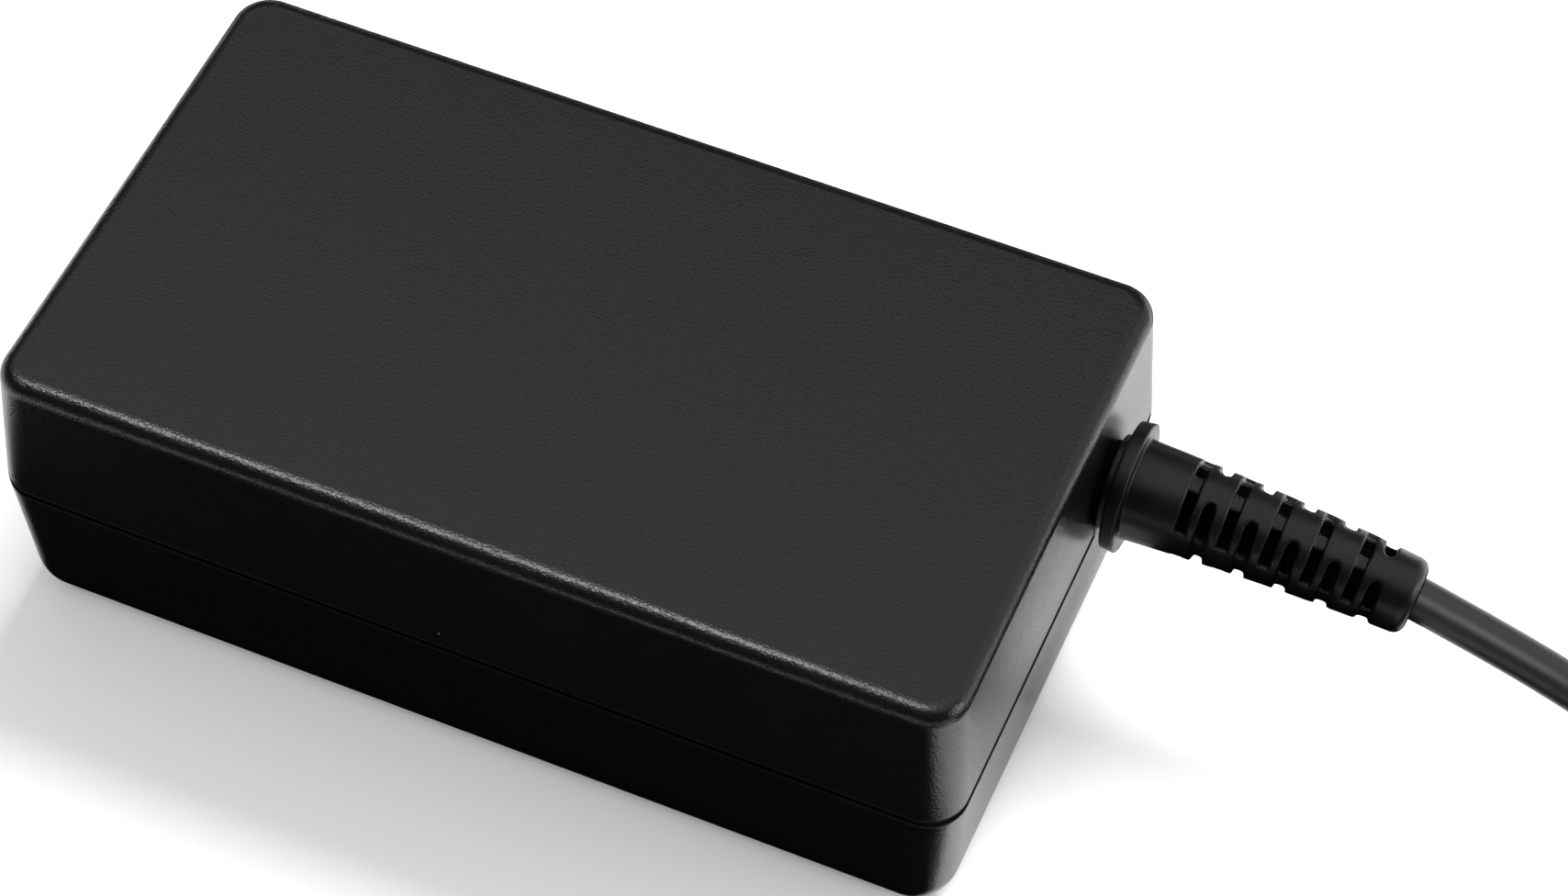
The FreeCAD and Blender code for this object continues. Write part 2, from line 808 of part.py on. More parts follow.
def inlet_pin(y, z, reach):
    front = inlet_floor - reach
    back = inlet_back + pin_tail_length
    half = pin_width / 2
    blade = box(front, back, y - half, y + half, z - pin_height / 2, z + pin_height / 2)
    tip = [e for e in blade.Edges if all(abs(v.X - front) < 1e-6 for v in e.Vertexes)]
    blade = blade.makeChamfer(pin_width / 4, tip)
    tail = box(back - pin_tail_thickness, back, y - half, y + half, board_bottom, z)
    return blade.fuse(tail).removeSplitter()


def inlet_pins():
    return [inlet_pin(-pin_pitch, inlet_z - pin_offset, live_pin_reach),
            inlet_pin(pin_pitch, inlet_z - pin_offset, live_pin_reach),
            inlet_pin(0, inlet_z + pin_offset, earth_pin_reach)]


# Both wires leave the jacket's end, bend down and go through the board
def dc_wire(side):
    start = V(half_length - wall - cord_inner_length, relief_y + side * wire_pitch_in_cord / 2, relief_z)
    turn = start - along_x * wire_first_run
    low = V(turn.x - wire_drop_run, relief_y + side * wire_pitch_at_board / 2, relief_z - wire_drop)
    foot = V(low.x, low.y, board_bottom)
    return tube("wire", rounded_route("wire", [start, turn, low, foot]), wire_radius), foot


def circuit_board(wire_feet):
    board = box(board_start, board_end, -board_half_width, board_half_width, board_bottom, board_top)
    board = board.makeFillet(board_corner_radius, edges_along(along_z, board))
    holes = []
    for x, y in post_places():
        holes.append(Part.makeCylinder(post_pin_radius + post_hole_clearance, board_thickness,
                                       V(x, y, board_bottom)))
    for foot in wire_feet:
        holes.append(Part.makeCylinder(wire_radius + wire_hole_clearance, board_thickness,
                                       V(foot.x, foot.y, board_bottom)))
    back = inlet_back + pin_tail_length + wire_hole_clearance
    front = inlet_back + pin_tail_length - pin_tail_thickness - wire_hole_clearance
    half = pin_width / 2 + wire_hole_clearance
    for y in (-pin_pitch, 0, pin_pitch):
        holes.append(box(front, back, y - half, y + half, board_bottom, board_top))
    return board.cut(holes)


def insulating_sheet():
    inset = wall + lower_lean + inner_bottom_edge_radius + sheet_gap
    x, y = half_length - inset, half_width - inset
    sheet = box(-x, x, -y, y, wall, wall + sheet_thickness)
    sheet = sheet.makeFillet(sheet_corner_radius, edges_along(along_z, sheet))
    holes = [Part.makeCylinder(post_radius + sheet_gap, sheet_thickness, V(px, py, wall))
             for px, py in post_places()]
    return sheet.cut(holes)


# A part's middle across the board, from its gap to the edge on that side
def beside_edge(side, gap, width):
    return side * (board_half_width - gap - width / 2)


def rounded_block(x, y, length, width, height, radius):
    block = centred_box(x, y, board_top, length, width, height)
    return block.makeFillet(radius, edges_along(along_z, block) + rim_edges(block, board_top + height))


def fuse():
    y = beside_edge(-1, fuse_edge_gap, fuse_width)
    return rounded_block(fuse_x, y, fuse_length, fuse_width, fuse_height, fuse_edge_radius)


def x_capacitor():
    y = beside_edge(1, x_capacitor_edge_gap, x_capacitor_width)
    return rounded_block(x_capacitor_x, y, x_capacitor_length, x_capacitor_width, x_capacitor_height,
                         x_capacitor_edge_radius)


def choke_axis():
    return V(choke_x, choke_y, board_top + choke_radius + winding_build)


def choke_core():
    middle = choke_axis()
    base = middle - along_x * choke_thickness / 2
    ring = Part.makeCylinder(choke_radius, choke_thickness, base, along_x)
    return ring.cut(Part.makeCylinder(choke_bore_radius, choke_thickness, base, along_x))


# One winding on each side of the core, as a sleeve that wraps the ring's section over part of a turn
def choke_windings():
    core = choke_core()
    inner, outer = choke_bore_radius - winding_build, choke_radius + winding_build
    windings = []
    for middle in (90, 270):
        sleeve = sector_prism(choke_thickness + 2 * winding_build, inner, outer,
                              middle - winding_angle / 2, middle + winding_angle / 2)
        sleeve.translate(choke_axis())
        windings.append(sleeve.cut(core))
    return windings


# A row of legs along the board, from the board into the body that they carry
def legs(x, y, count, pitch, height):
    first = x - (count - 1) * pitch / 2
    return [centred_box(first + i * pitch, y, board_top, package_leg_width, package_leg_width,
                        height + leg_root) for i in range(count)]


def bridge_rectifier():
    y = beside_edge(-1, bridge_edge_gap, bridge_width)
    body = centred_box(bridge_x, y, board_top + package_lift, bridge_length, bridge_width, bridge_height)
    body = body.makeFillet(bridge_edge_radius, edges_along(along_z, body))
    return body.fuse(legs(bridge_x, y, 4, bridge_length / 4, package_lift))


def bulk_capacitor():
    base = V(bulk_x, bulk_y - bulk_length / 2, board_top + bulk_radius)
    can = Part.makeCylinder(bulk_radius, bulk_length, base, along_y)
    return can.makeFillet(bulk_edge_radius, [e for e in can.Edges if e.Length > bulk_radius * 4])


# Two halves of a ferrite core that meet half way up: a back, a round middle leg and two side legs
def transformer_core():
    x = transformer_x
    half_height = core_height / 2
    halves = []
    for back_z, leg_z in ((0, core_back), (core_height - core_back, half_height)):
        z = board_top + back_z
        half = centred_box(x, 0, z, core_length, core_width, core_back)
        leg_height = half_height - core_back
        leg_base = board_top + leg_z
        half = half.fuse(Part.makeCylinder(core_leg_radius, leg_height, V(x, 0, leg_base)))
        for side in (-1, 1):
            leg_x = x + side * (core_length - core_side_thickness) / 2
            half = half.fuse(centred_box(leg_x, 0, leg_base, core_side_thickness, core_width, leg_height))
        halves.append(half.removeSplitter())
    return halves


def transformer_window():
    low = board_top + core_back + bobbin_clearance
    return low, board_top + core_height - core_back - bobbin_clearance


def transformer_bobbin():
    x = transformer_x
    low, high = transformer_window()
    bore = core_leg_radius + bobbin_clearance
    tube_radius = bore + bobbin_wall
    spool = Part.makeCylinder(tube_radius, high - low, V(x, 0, low))
    for z in (low, high - bobbin_wall):
        spool = spool.fuse(Part.makeCylinder(bobbin_flange_radius, bobbin_wall, V(x, 0, z)))
    return spool.cut(Part.makeCylinder(bore, high - low, V(x, 0, low))).removeSplitter()


def transformer_winding():
    x = transformer_x
    low, high = transformer_window()
    low, high = low + bobbin_wall, high - bobbin_wall
    inner = core_leg_radius + bobbin_clearance + bobbin_wall
    outer = bobbin_flange_radius - winding_clearance
    coil = Part.makeCylinder(outer, high - low, V(x, 0, low))
    return coil.cut(Part.makeCylinder(inner, high - low, V(x, 0, low)))


# Side is +1 or -1: the sink stands near that long edge of the board, facing the middle
def heat_sink(x, side):
    x0, x1 = x - sink_length / 2, x + sink_length / 2
    outer, inner = side * (sink_face + sink_thickness), side * sink_face
    lip_inner = inner - side * package_thickness / 2
    top = film_bottom - sink_roof_gap
    plate = box(x0, x1, min(outer, inner), max(outer, inner), board_top, top)
    lip = box(x0, x1, min(outer, lip_inner), max(outer, lip_inner), top - sink_thickness, top)
    return plate.fuse(lip).removeSplitter()


def power_package(x, side):
    back = side * sink_face
    front = back - side * package_thickness
    tab_front = back - side * package_tab_thickness
    low = board_top + package_lift
    half = package_width / 2
    body = box(x - half, x + half, min(back, front), max(back, front), low, low + package_body_height)
    tab = box(x - half, x + half, min(back, tab_front), max(back, tab_front), low, low + package_tab_height)
    pins = legs(x, (back + front) / 2, 3, package_leg_pitch, package_lift)
    return body.fuse([tab] + pins).removeSplitter()


def standing_can(x, y, radius, height, edge):
    can = Part.makeCylinder(radius, height, V(x, y, board_top))
    return can.makeFillet(edge, rim_edges(can, board_top + height))


def output_capacitors():
    return [standing_can(output_can_x, y, output_can_radius, output_can_height, output_can_edge_radius)
            for y in output_can_y]


def output_choke():
    y = beside_edge(1, output_choke_edge_gap, 2 * output_choke_radius)
    return standing_can(output_choke_x, y, output_choke_radius, output_choke_height,
                        output_choke_edge_radius)


def optocoupler():
    x = transistor_x + package_width / 2 + opto_gap + opto_length / 2
    return rounded_block(x, opto_y, opto_length, opto_width, opto_height, opto_edge_radius)


def y_capacitor():
    x = rectifier_x - package_width / 2 - y_capacitor_gap - y_capacitor_radius
    back = -sink_face + y_capacitor_sink_gap
    low = board_top + lead_gap
    disc = Part.makeCylinder(y_capacitor_radius, y_capacitor_thickness,
                             V(x, back, low + y_capacitor_radius), along_y)
    disc = disc.makeFillet(y_capacitor_edge_radius,
                           [e for e in disc.Edges if e.Length > y_capacitor_radius * 4])
    leads = legs(x, back + y_capacitor_thickness / 2, 2, y_capacitor_lead_pitch,
                 lead_gap + y_capacitor_radius / 2)
    return disc.fuse(leads)


def control_chip():
    x = board_start + chip_x
    return centred_box(x, chip_y, board_bottom - chip_height, chip_length, chip_width, chip_height)


# An upside-down tray under the roof: a flat top with a skirt down each long side
def roof_tray(top, thickness, side_gap, depth):
    x0 = board_start + spreader_end_gap
    x1 = board_end - spreader_end_gap
    y = half_width - wall - upper_lean - side_gap
    outer = box(x0, x1, -y, y, top - depth, top)
    hollow = box(x0, x1, thickness - y, y - thickness, top - depth, top - thickness)
    return outer.cut(hollow)


def heat_spreader():
    return roof_tray(roof_z, spreader_thickness, spreader_side_gap + inner_top_edge_radius, spreader_depth)


def insulating_cover():
    side_gap = spreader_side_gap + inner_top_edge_radius + spreader_thickness
    return roof_tray(roof_z - spreader_thickness, film_thickness, side_gap, spreader_depth)


def main():
    os.makedirs("parts", exist_ok=True)
    jacket_line, leaves, heading = jacket_path()
    jacket = tube("cord_inner_end", jacket_line, cord_radius)
    coil_line_path, coil_start, start_heading, coil_stop, stop_heading = coil_path()
    lead_line = rounded_route("lead", lead_points(leaves, heading, coil_start, start_heading))
    tail_line = rounded_route("tail", tail_points(coil_stop, stop_heading))
    print_coil_gap(coil_line_path)
    print("free cord: %.0f" % (lead_line.Length + coil_line_path.Length + tail_line.Length))
    wires = [dc_wire(side) for side in (-1, 1)]

    export("upper_shell", upper_shell())
    export("lower_shell", lower_shell())
    export("strain_relief", strain_relief(jacket))
    export("cord_inner_end", jacket)
    export("dc_cord_lead", tube("dc_cord_lead", lead_line, cord_radius))
    export("dc_cord_coil", tube("dc_cord_coil", coil_line_path, cord_radius))
    export("dc_cord_tail", tube("dc_cord_tail", tail_line, cord_radius))
    export("cord_ties", *[strap(angle) for angle in strap_angles])
    export("plug_grip", plug_grip())
    export("plug_barrel", plug_barrel())
    export("plug_insulator", plug_insulator())
    export("plug_inner_contact", plug_inner_contact())
    export("ac_inlet", ac_inlet())
    export("inlet_pins", *inlet_pins())
    export("circuit_board", circuit_board([foot for _, foot in wires]))
    export("insulating_sheet", insulating_sheet())
    export("fuse", fuse())
    export("x_capacitor", x_capacitor())
    export("choke_core", choke_core())
    export("choke_windings", *choke_windings())
    export("bridge_rectifier", bridge_rectifier())
    export("bulk_capacitor", bulk_capacitor())
    export("primary_heatsink", heat_sink(primary_sink_x, 1))
    export("switching_transistor", power_package(transistor_x, 1))
    export("transformer_core", *transformer_core())
    export("transformer_bobbin", transformer_bobbin())
    export("transformer_winding", transformer_winding())
    export("control_chip", control_chip())
    export("optocoupler", optocoupler())
    export("y_capacitor", y_capacitor())
    export("secondary_heatsink", heat_sink(secondary_sink_x, -1))
    export("output_rectifier", power_package(rectifier_x, -1))
    export("output_capacitors", *output_capacitors())
    export("output_choke", output_choke())
    export("dc_wires", *[wire for wire, _ in wires])
    export("insulating_cover", insulating_cover())
    export("heat_spreader", heat_spreader())


main()
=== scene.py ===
import math

import bmesh
import bpy
from mathutils import Matrix, Vector


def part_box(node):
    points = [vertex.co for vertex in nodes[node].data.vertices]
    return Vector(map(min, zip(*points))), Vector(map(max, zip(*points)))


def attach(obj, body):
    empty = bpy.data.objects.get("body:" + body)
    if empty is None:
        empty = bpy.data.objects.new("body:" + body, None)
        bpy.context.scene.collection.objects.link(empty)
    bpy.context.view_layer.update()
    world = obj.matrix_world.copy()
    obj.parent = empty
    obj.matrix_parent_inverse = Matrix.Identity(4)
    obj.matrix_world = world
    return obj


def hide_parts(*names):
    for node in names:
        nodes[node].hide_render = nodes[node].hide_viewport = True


# A laptop power adapter on a pale floor. The rigid parts come from the CAD frame and get their finishes here.
# The flexible parts are made here: strain relief, cord, straps, plug overmould, windings and inner wires.

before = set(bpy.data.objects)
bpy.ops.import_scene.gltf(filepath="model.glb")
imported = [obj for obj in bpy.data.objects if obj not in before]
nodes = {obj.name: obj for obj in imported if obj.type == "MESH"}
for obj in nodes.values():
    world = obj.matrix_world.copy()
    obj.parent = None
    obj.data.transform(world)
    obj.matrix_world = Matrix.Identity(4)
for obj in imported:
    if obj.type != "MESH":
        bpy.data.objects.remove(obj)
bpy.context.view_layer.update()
mm = 0.001


def srgb(hexColour):
    channels = [int(hexColour[i:i + 2], 16) / 255 for i in (1, 3, 5)]
    return [c / 12.92 if c <= 0.04045 else ((c + 0.055) / 1.055) ** 2.4 for c in channels] + [1.0]


def addNode(tree, kind, inputs=(), output=0, **settings):
    node = tree.nodes.new(kind)
    count = len(tree.nodes)
    node.location = (190 * (count // 7), -190 * (count % 7))
    for key, value in settings.items():
        setattr(node, key, value)
    for key, value in (inputs.items() if isinstance(inputs, dict) else enumerate(inputs)):
        if isinstance(value, bpy.types.NodeSocket):
            tree.links.new(value, node.inputs[key])
        elif value is not None:
            node.inputs[key].default_value = value
    return node.outputs[output] if node.outputs else node


def mathNode(tree, operation, *inputs):
    return addNode(tree, "ShaderNodeMath", inputs, operation=operation)


def lengthOf(tree, *legs):
    spoke = addNode(tree, "ShaderNodeCombineXYZ", legs)
    return addNode(tree, "ShaderNodeVectorMath", [spoke], output=1, operation="LENGTH")


# Noise whose lumps are about as wide as the given size in millimetres
def addNoise(tree, place, size, detail, roughness=None):
    return addNode(tree, "ShaderNodeTexNoise", {"Vector": place, "Scale": 1 / (size * mm), "Detail": detail,
                                                "Roughness": roughness})


def addBump(tree, height, strength, depth, normal=None):
    return addNode(tree, "ShaderNodeBump", {"Strength": strength, "Distance": depth * mm, "Height": height,
                                            "Normal": normal})


# Spreads the middle of a noise, where nearly all of it lies, over a range of roughness
def addGloss(tree, noise, glossiest, dullest, middle=(0.3, 0.7)):
    return addNode(tree, "ShaderNodeMapRange", [noise, *middle, glossiest, dullest])


def mixTones(tree, share, first, second):
    return addNode(tree, "ShaderNodeMix", {0: share, 6: first, 7: second}, output=2, data_type="RGBA")


def linkSurface(tree, surface, sockets):
    for name, value in sockets.items():
        tree.links.new(value, surface.inputs[name])


def newMaterial(name, colour, **shaderInputs):
    material = bpy.data.materials.new(name)
    material.use_nodes = True
    tree = material.node_tree
    tree.nodes.clear()
    surface = addNode(tree, "ShaderNodeBsdfPrincipled", {"Base Color": srgb(colour), **shaderInputs})
    addNode(tree, "ShaderNodeOutputMaterial", [surface])
    place = addNode(tree, "ShaderNodeTexCoord", output=3)
    return material, tree, surface.node, place


def setFinish(material, *names):
    for name in names:
        nodes[name].data.materials.clear()
        nodes[name].data.materials.append(material)


def newPiece(name, mesh, material=None):
    piece = bpy.data.objects.new(name, mesh)
    bpy.context.scene.collection.objects.link(piece)
    if material:
        mesh.materials.append(material)
    return piece


def newTree(name, sizes):
    tree = bpy.data.node_groups.new(name, "GeometryNodeTree")
    tree.interface.new_socket("Mesh", in_out="OUTPUT", socket_type="NodeSocketGeometry")
    for label in sizes:
        tree.interface.new_socket(label, in_out="INPUT", socket_type="NodeSocketFloat")
    given = addNode(tree, "NodeGroupInput").node.outputs
    return tree, {label: given[label] for label in sizes}


def growMesh(tree, sizes):
    grower = newPiece("grower", bpy.data.meshes.new("grower"))
    modifier = grower.modifiers.new("Grow", "NODES")
    modifier.node_group = tree
    for item in tree.interface.items_tree:
        if item.in_out == "INPUT":
            modifier[item.identifier] = float(sizes[item.name])
    grown = grower.evaluated_get(bpy.context.evaluated_depsgraph_get())
    mesh = bpy.data.meshes.new_from_object(grown)
    bpy.data.objects.remove(grower)
    return mesh


# Camera at the photograph's viewing angle
view = {"place": (0.118786, -0.239453, 0.376347), "azimuth": 21.980, "elevation": 53.408, "roll": 1.373,
        "lens": 99.683, "sensor": 36.0, "nearest": 0.01}
cameraData = bpy.data.cameras.new("camera")
cameraData.lens = view["lens"]
cameraData.sensor_width = view["sensor"]
cameraData.clip_start = view["nearest"]
camera = bpy.data.objects.new("camera", cameraData)
bpy.context.scene.collection.objects.link(camera)
camera.matrix_world = (Matrix.Translation(view["place"])
                       @ Matrix.Rotation(math.radians(view["azimuth"]), 4, "Z")
                       @ Matrix.Rotation(math.radians(90 - view["elevation"]), 4, "X")
                       @ Matrix.Rotation(math.radians(view["roll"]), 4, "Z"))
bpy.context.scene.camera = camera
print("camera set")


# Low-voltage cord: lead, coil and tail on one NURBS line, points in millimetres
cord = {"diameter": 4.5, "length": 1.751,
        "lead": [(84.25, 13.2, 21.5), (92.857, 13.2, 18.93), (102.2, 13.15, 15.6), (111.0, 13.0, 11.6),
                 (119.5, 13.1, 7.2), (128.0, 13.0, 3.9), (138.0, 12.9, 2.55), (147.004, 13.34, 3.25),
                 (155.502, 13.118, 3.25)],
        "tail": [(189.848, -22.498, 18.55), (190.094, -31.495, 18.55), (189.9, -41.5, 14.6),
                 (185.6, -51.0, 10.6), (176.5, -57.6, 6.6), (164.5, -60.0, 5.0), (153.0, -60.0, 5.0)],
        "inside": [(45.3, 13.2, 23.35), (50.0, 13.2, 23.3), (55.2, 13.2, 23.25), (67.0, 13.2, 22.95),
                   (75.0, 13.2, 22.35), (80.2, 13.2, 21.98), (84.25, 13.2, 21.5)]}
coil = {"centre": (160.0, -18.0), "outerRadius": 31.0, "base": 3.25, "step": 5.1, "layers": 4,
        "layerTurns": 2.25, "lastTurns": 2.0, "climbTurns": 0.5, "pointsPerTurn": 20}
cordTube = {"steps": 6, "quarterSides": 7, "order": 3}


def coilLine(turns):
    radius, height, inward, left = coil["outerRadius"], coil["base"], 1, turns
    for layer in range(coil["layers"]):
        last = layer == coil["layers"] - 1
        flat = coil["lastTurns"] if last else coil["layerTurns"]
        if left <= flat or last:
            return radius - inward * coil["step"] * left, height
        left -= flat
        radius -= inward * coil["step"] * flat
        if left <= coil["climbTurns"]:
            share = left / coil["climbTurns"]
            bulge = coil["step"] * coil["climbTurns"] * share * (1 - share)
            return radius - inward * bulge, height + coil["step"] * share * share * (3 - 2 * share)
        left -= coil["climbTurns"]
        height += coil["step"]
        inward = -inward


def coilPoints():
    turns = (coil["layers"] - 1) * (coil["layerTurns"] + coil["climbTurns"]) + coil["lastTurns"]
    count = round(turns * coil["pointsPerTurn"])
    points = []
    for i in range(count + 1):
        radius, height = coilLine(turns * i / count)
        angle = math.pi / 2 - 2 * math.pi * turns * i / count
        points.append((coil["centre"][0] + radius * math.cos(angle),
                       coil["centre"][1] + radius * math.sin(angle), height))
    return points


def smoothCord(name, lines, diameter, material):
    curve = bpy.data.curves.new(name, "CURVE")
    curve.dimensions = "3D"
    curve.resolution_u = cordTube["steps"]
    curve.bevel_depth = diameter / 2 * mm
    curve.bevel_resolution = cordTube["quarterSides"]
    curve.use_fill_caps = True
    for points in lines:
        spline = curve.splines.new("NURBS")
        spline.points.add(len(points) - 1)
        for point, place in zip(spline.points, points):
            point.co = (*(c * mm for c in place), 1.0)
        spline.order_u = cordTube["order"]
        spline.use_endpoint_u = True
    curve.materials.append(material)
    piece = bpy.data.objects.new(name, curve)
    bpy.context.scene.collection.objects.link(piece)
    return piece


pvcLook = {"wavesPerDiameter": 0.45, "waveStrength": 0.5, "waveDepth": 0.06, "skin": 0.35,
           "skinStrength": 0.35, "skinDepth": 0.01, "glossier": 0.05, "duller": 0.07}


# Extruded soft PVC: satin, with a fine skin over the slow unevenness that the die leaves.
def extrudedPvc(name, colour, roughness, diameter):
    look = pvcLook
    material, tree, surface, place = newMaterial(name, colour)
    wave = addNode(tree, "ShaderNodeTexNoise",
                   {"Vector": place, "Scale": look["wavesPerDiameter"] / (diameter * mm), "Detail": 2.0})
    skin = addNoise(tree, place, look["skin"], 3.0)
    gloss = addGloss(tree, wave, roughness - look["glossier"], roughness + look["duller"])
    soft = addBump(tree, wave, look["waveStrength"], look["waveDepth"])
    fine = addBump(tree, skin, look["skinStrength"], look["skinDepth"], soft)
    linkSurface(tree, surface, {"Roughness": gloss, "Normal": fine})
    return material


jacket = extrudedPvc("cordJacketPvc", "#161715", 0.4, cord["diameter"])
dcCord = smoothCord("dc_cord", [cord["lead"] + coilPoints() + cord["tail"]], cord["diameter"], jacket)
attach(dcCord, "root")
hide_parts("dc_cord_lead", "dc_cord_coil", "dc_cord_tail")
cordInside = smoothCord("cord_in_relief", [cord["inside"]], cord["diameter"], jacket)
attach(cordInside, "root")
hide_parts("cord_inner_end")
print("cord laid")


# Case of two welded mouldings
caseLook = {"colour": "#070807", "specular": 0.45, "grain": 0.36, "grainRoughness": 0.6, "pits": 0.22,
            "relief": 0.028, "roughness": 0.28, "unevenness": 0.04, "drift": 24, "dustColour": "#6d6c68",
            "dustSpacing": 9.0, "dustSize": 0.10, "dustFrom": 0.72, "seamShadeHeight": 18.65, "seamShadeHalf": 0.62,
            "seamShadeColour": "#010101", "seamShadeRoughness": 0.95}


# Moulded PC/ABS with a spark-eroded tool finish: an even matt grain that breaks highlights into sparkle, and
# a few specks of dust. Along the seam a near-black, rough band is painted in as painted shade of the groove
# between the shells.
def sparkErodedPlastic(name, look):
    material, tree, surface, place = newMaterial(name, look["colour"],
                                                 **{"Specular IOR Level": look["specular"]})
    grain = addNoise(tree, place, look["grain"], 2.0, look["grainRoughness"])
    pits = addNode(tree, "ShaderNodeTexVoronoi", {"Vector": place, "Scale": 1 / (look["pits"] * mm)},
                   feature="SMOOTH_F1")
    bump = addBump(tree, mathNode(tree, "ADD", grain, pits), 1.0, look["relief"])
    drift = addNoise(tree, place, look["drift"], 3.0)
    gloss = addGloss(tree, drift, look["roughness"] - look["unevenness"],
                     look["roughness"] + look["unevenness"])
    cells = addNode(tree, "ShaderNodeTexVoronoi",
                    {"Vector": place, "Scale": 1 / (look["dustSpacing"] * mm)}).node
    draw = addNode(tree, "ShaderNodeSeparateColor", [cells.outputs["Color"]])
    chosen = mathNode(tree, "GREATER_THAN", draw, look["dustFrom"])
    near = mathNode(tree, "LESS_THAN", cells.outputs["Distance"], look["dustSize"] / look["dustSpacing"])
    dust = mathNode(tree, "MULTIPLY", chosen, near)
    tone = mixTones(tree, dust, srgb(look["colour"]), srgb(look["dustColour"]))
    level = addNode(tree, "ShaderNodeSeparateXYZ", [place], output=2)
    # Painted shade: a near-black, rough band at the seam's height stands in for the shade in the groove
    seamShade = mathNode(tree, "COMPARE", level, look["seamShadeHeight"] * mm, look["seamShadeHalf"] * mm)
    seamShadeTone = mixTones(tree, seamShade, tone, srgb(look["seamShadeColour"]))
    seamShadeGloss = addNode(tree, "ShaderNodeMix", [seamShade, None, gloss, look["seamShadeRoughness"]])
    linkSurface(tree, surface, {"Base Color": seamShadeTone, "Roughness": seamShadeGloss, "Normal": bump})
    return material


casePlastic = sparkErodedPlastic("casePcAbs", caseLook)
setFinish(casePlastic, "upper_shell", "lower_shell")
print("case finished")


# Strain relief: a moulded body described by its distance rule, in millimetres
reliefSizes = {"Collar Face": 55.2, "Axis Y": 13.2, "Axis Z": 23.25, "Collar Radius": 6.9,
               "Collar Thickness": 1.6, "Collar Edge": 0.18, "Collar Draft": 0.12, "Groove Radius": 5.0,
               "Groove Start": 52.6, "Neck Radius": 4.1, "Seam Height": 18.65, "Retainer Front": 49.7,
               "Retainer Thickness": 2.5, "Retainer Size": 12.5, "Retainer Edge": 0.3, "Boot Length": 28.8,
               "Root Radius": 5.3, "Tip Radius": 4.05, "Dome Width": 1.15, "Dome Height": 1.2,
               "Bend Radius": 206.0, "Sleeve Radius": 2.7, "Slot Pitch": 4.41, "Last Level": 4,
               "Twist": math.radians(0.76), "Slot Corner": 0.15, "Web Recess": 0.4, "Shallow Recess": 0.13,
               "Upper Recess": 1.3, "Upper To": math.radians(-8), "Deep From": math.radians(-24),
               "Shallow From": math.radians(-38), "Upper End": math.radians(-24), "Bore Radius": 2.22,
               "Bore Rise": 0.3, "Rise Length": 6.0, "Mouth Depth": 1.2, "Mouth Gap": 0.36,
               "End Rounding": 0.9, "Painted Shade Below": 0.55, "Voxel": 0.18}
reliefBlock = {"low": (44.6, 5.8, 15.6), "high": (86.0, 20.6, 30.8)}
slotRows = [{"first": 6.05, "width": 1.1, "turn": math.radians(3.5), "middle": math.radians(39),
             "half": math.radians(27), "webSpan": math.radians(66), "edge": 0.08, "shoulder": 0.16,
             "roundEnds": False},
            {"first": 8.12, "width": 1.25, "turn": math.radians(90), "middle": math.radians(44.5),
             "half": math.radians(24.5), "webSpan": math.radians(27), "edge": 0.1, "shoulder": 0.6,
             "endLength": 1.1, "roundEnds": True}]
rubberLook = {"skin": 0.28, "flow": 3.5, "glossier": 0.05, "duller": 0.06, "strength": 0.4, "depth": 0.012}


# Thermoplastic rubber from a polished tool: dark, evenly satin, with soft highlights on every ring.
def mouldedRubber(name, colour, roughness, shine=0.5):
    look = rubberLook
    material, tree, surface, place = newMaterial(name, colour, **{"Specular IOR Level": shine})
    skin = addNoise(tree, place, look["skin"], 3.0)
    flow = addNoise(tree, place, look["flow"], 2.0)
    gloss = addGloss(tree, flow, roughness - look["glossier"], roughness + look["duller"])
    bump = addBump(tree, skin, look["strength"], look["depth"])
    linkSurface(tree, surface, {"Roughness": gloss, "Normal": bump})
    return material


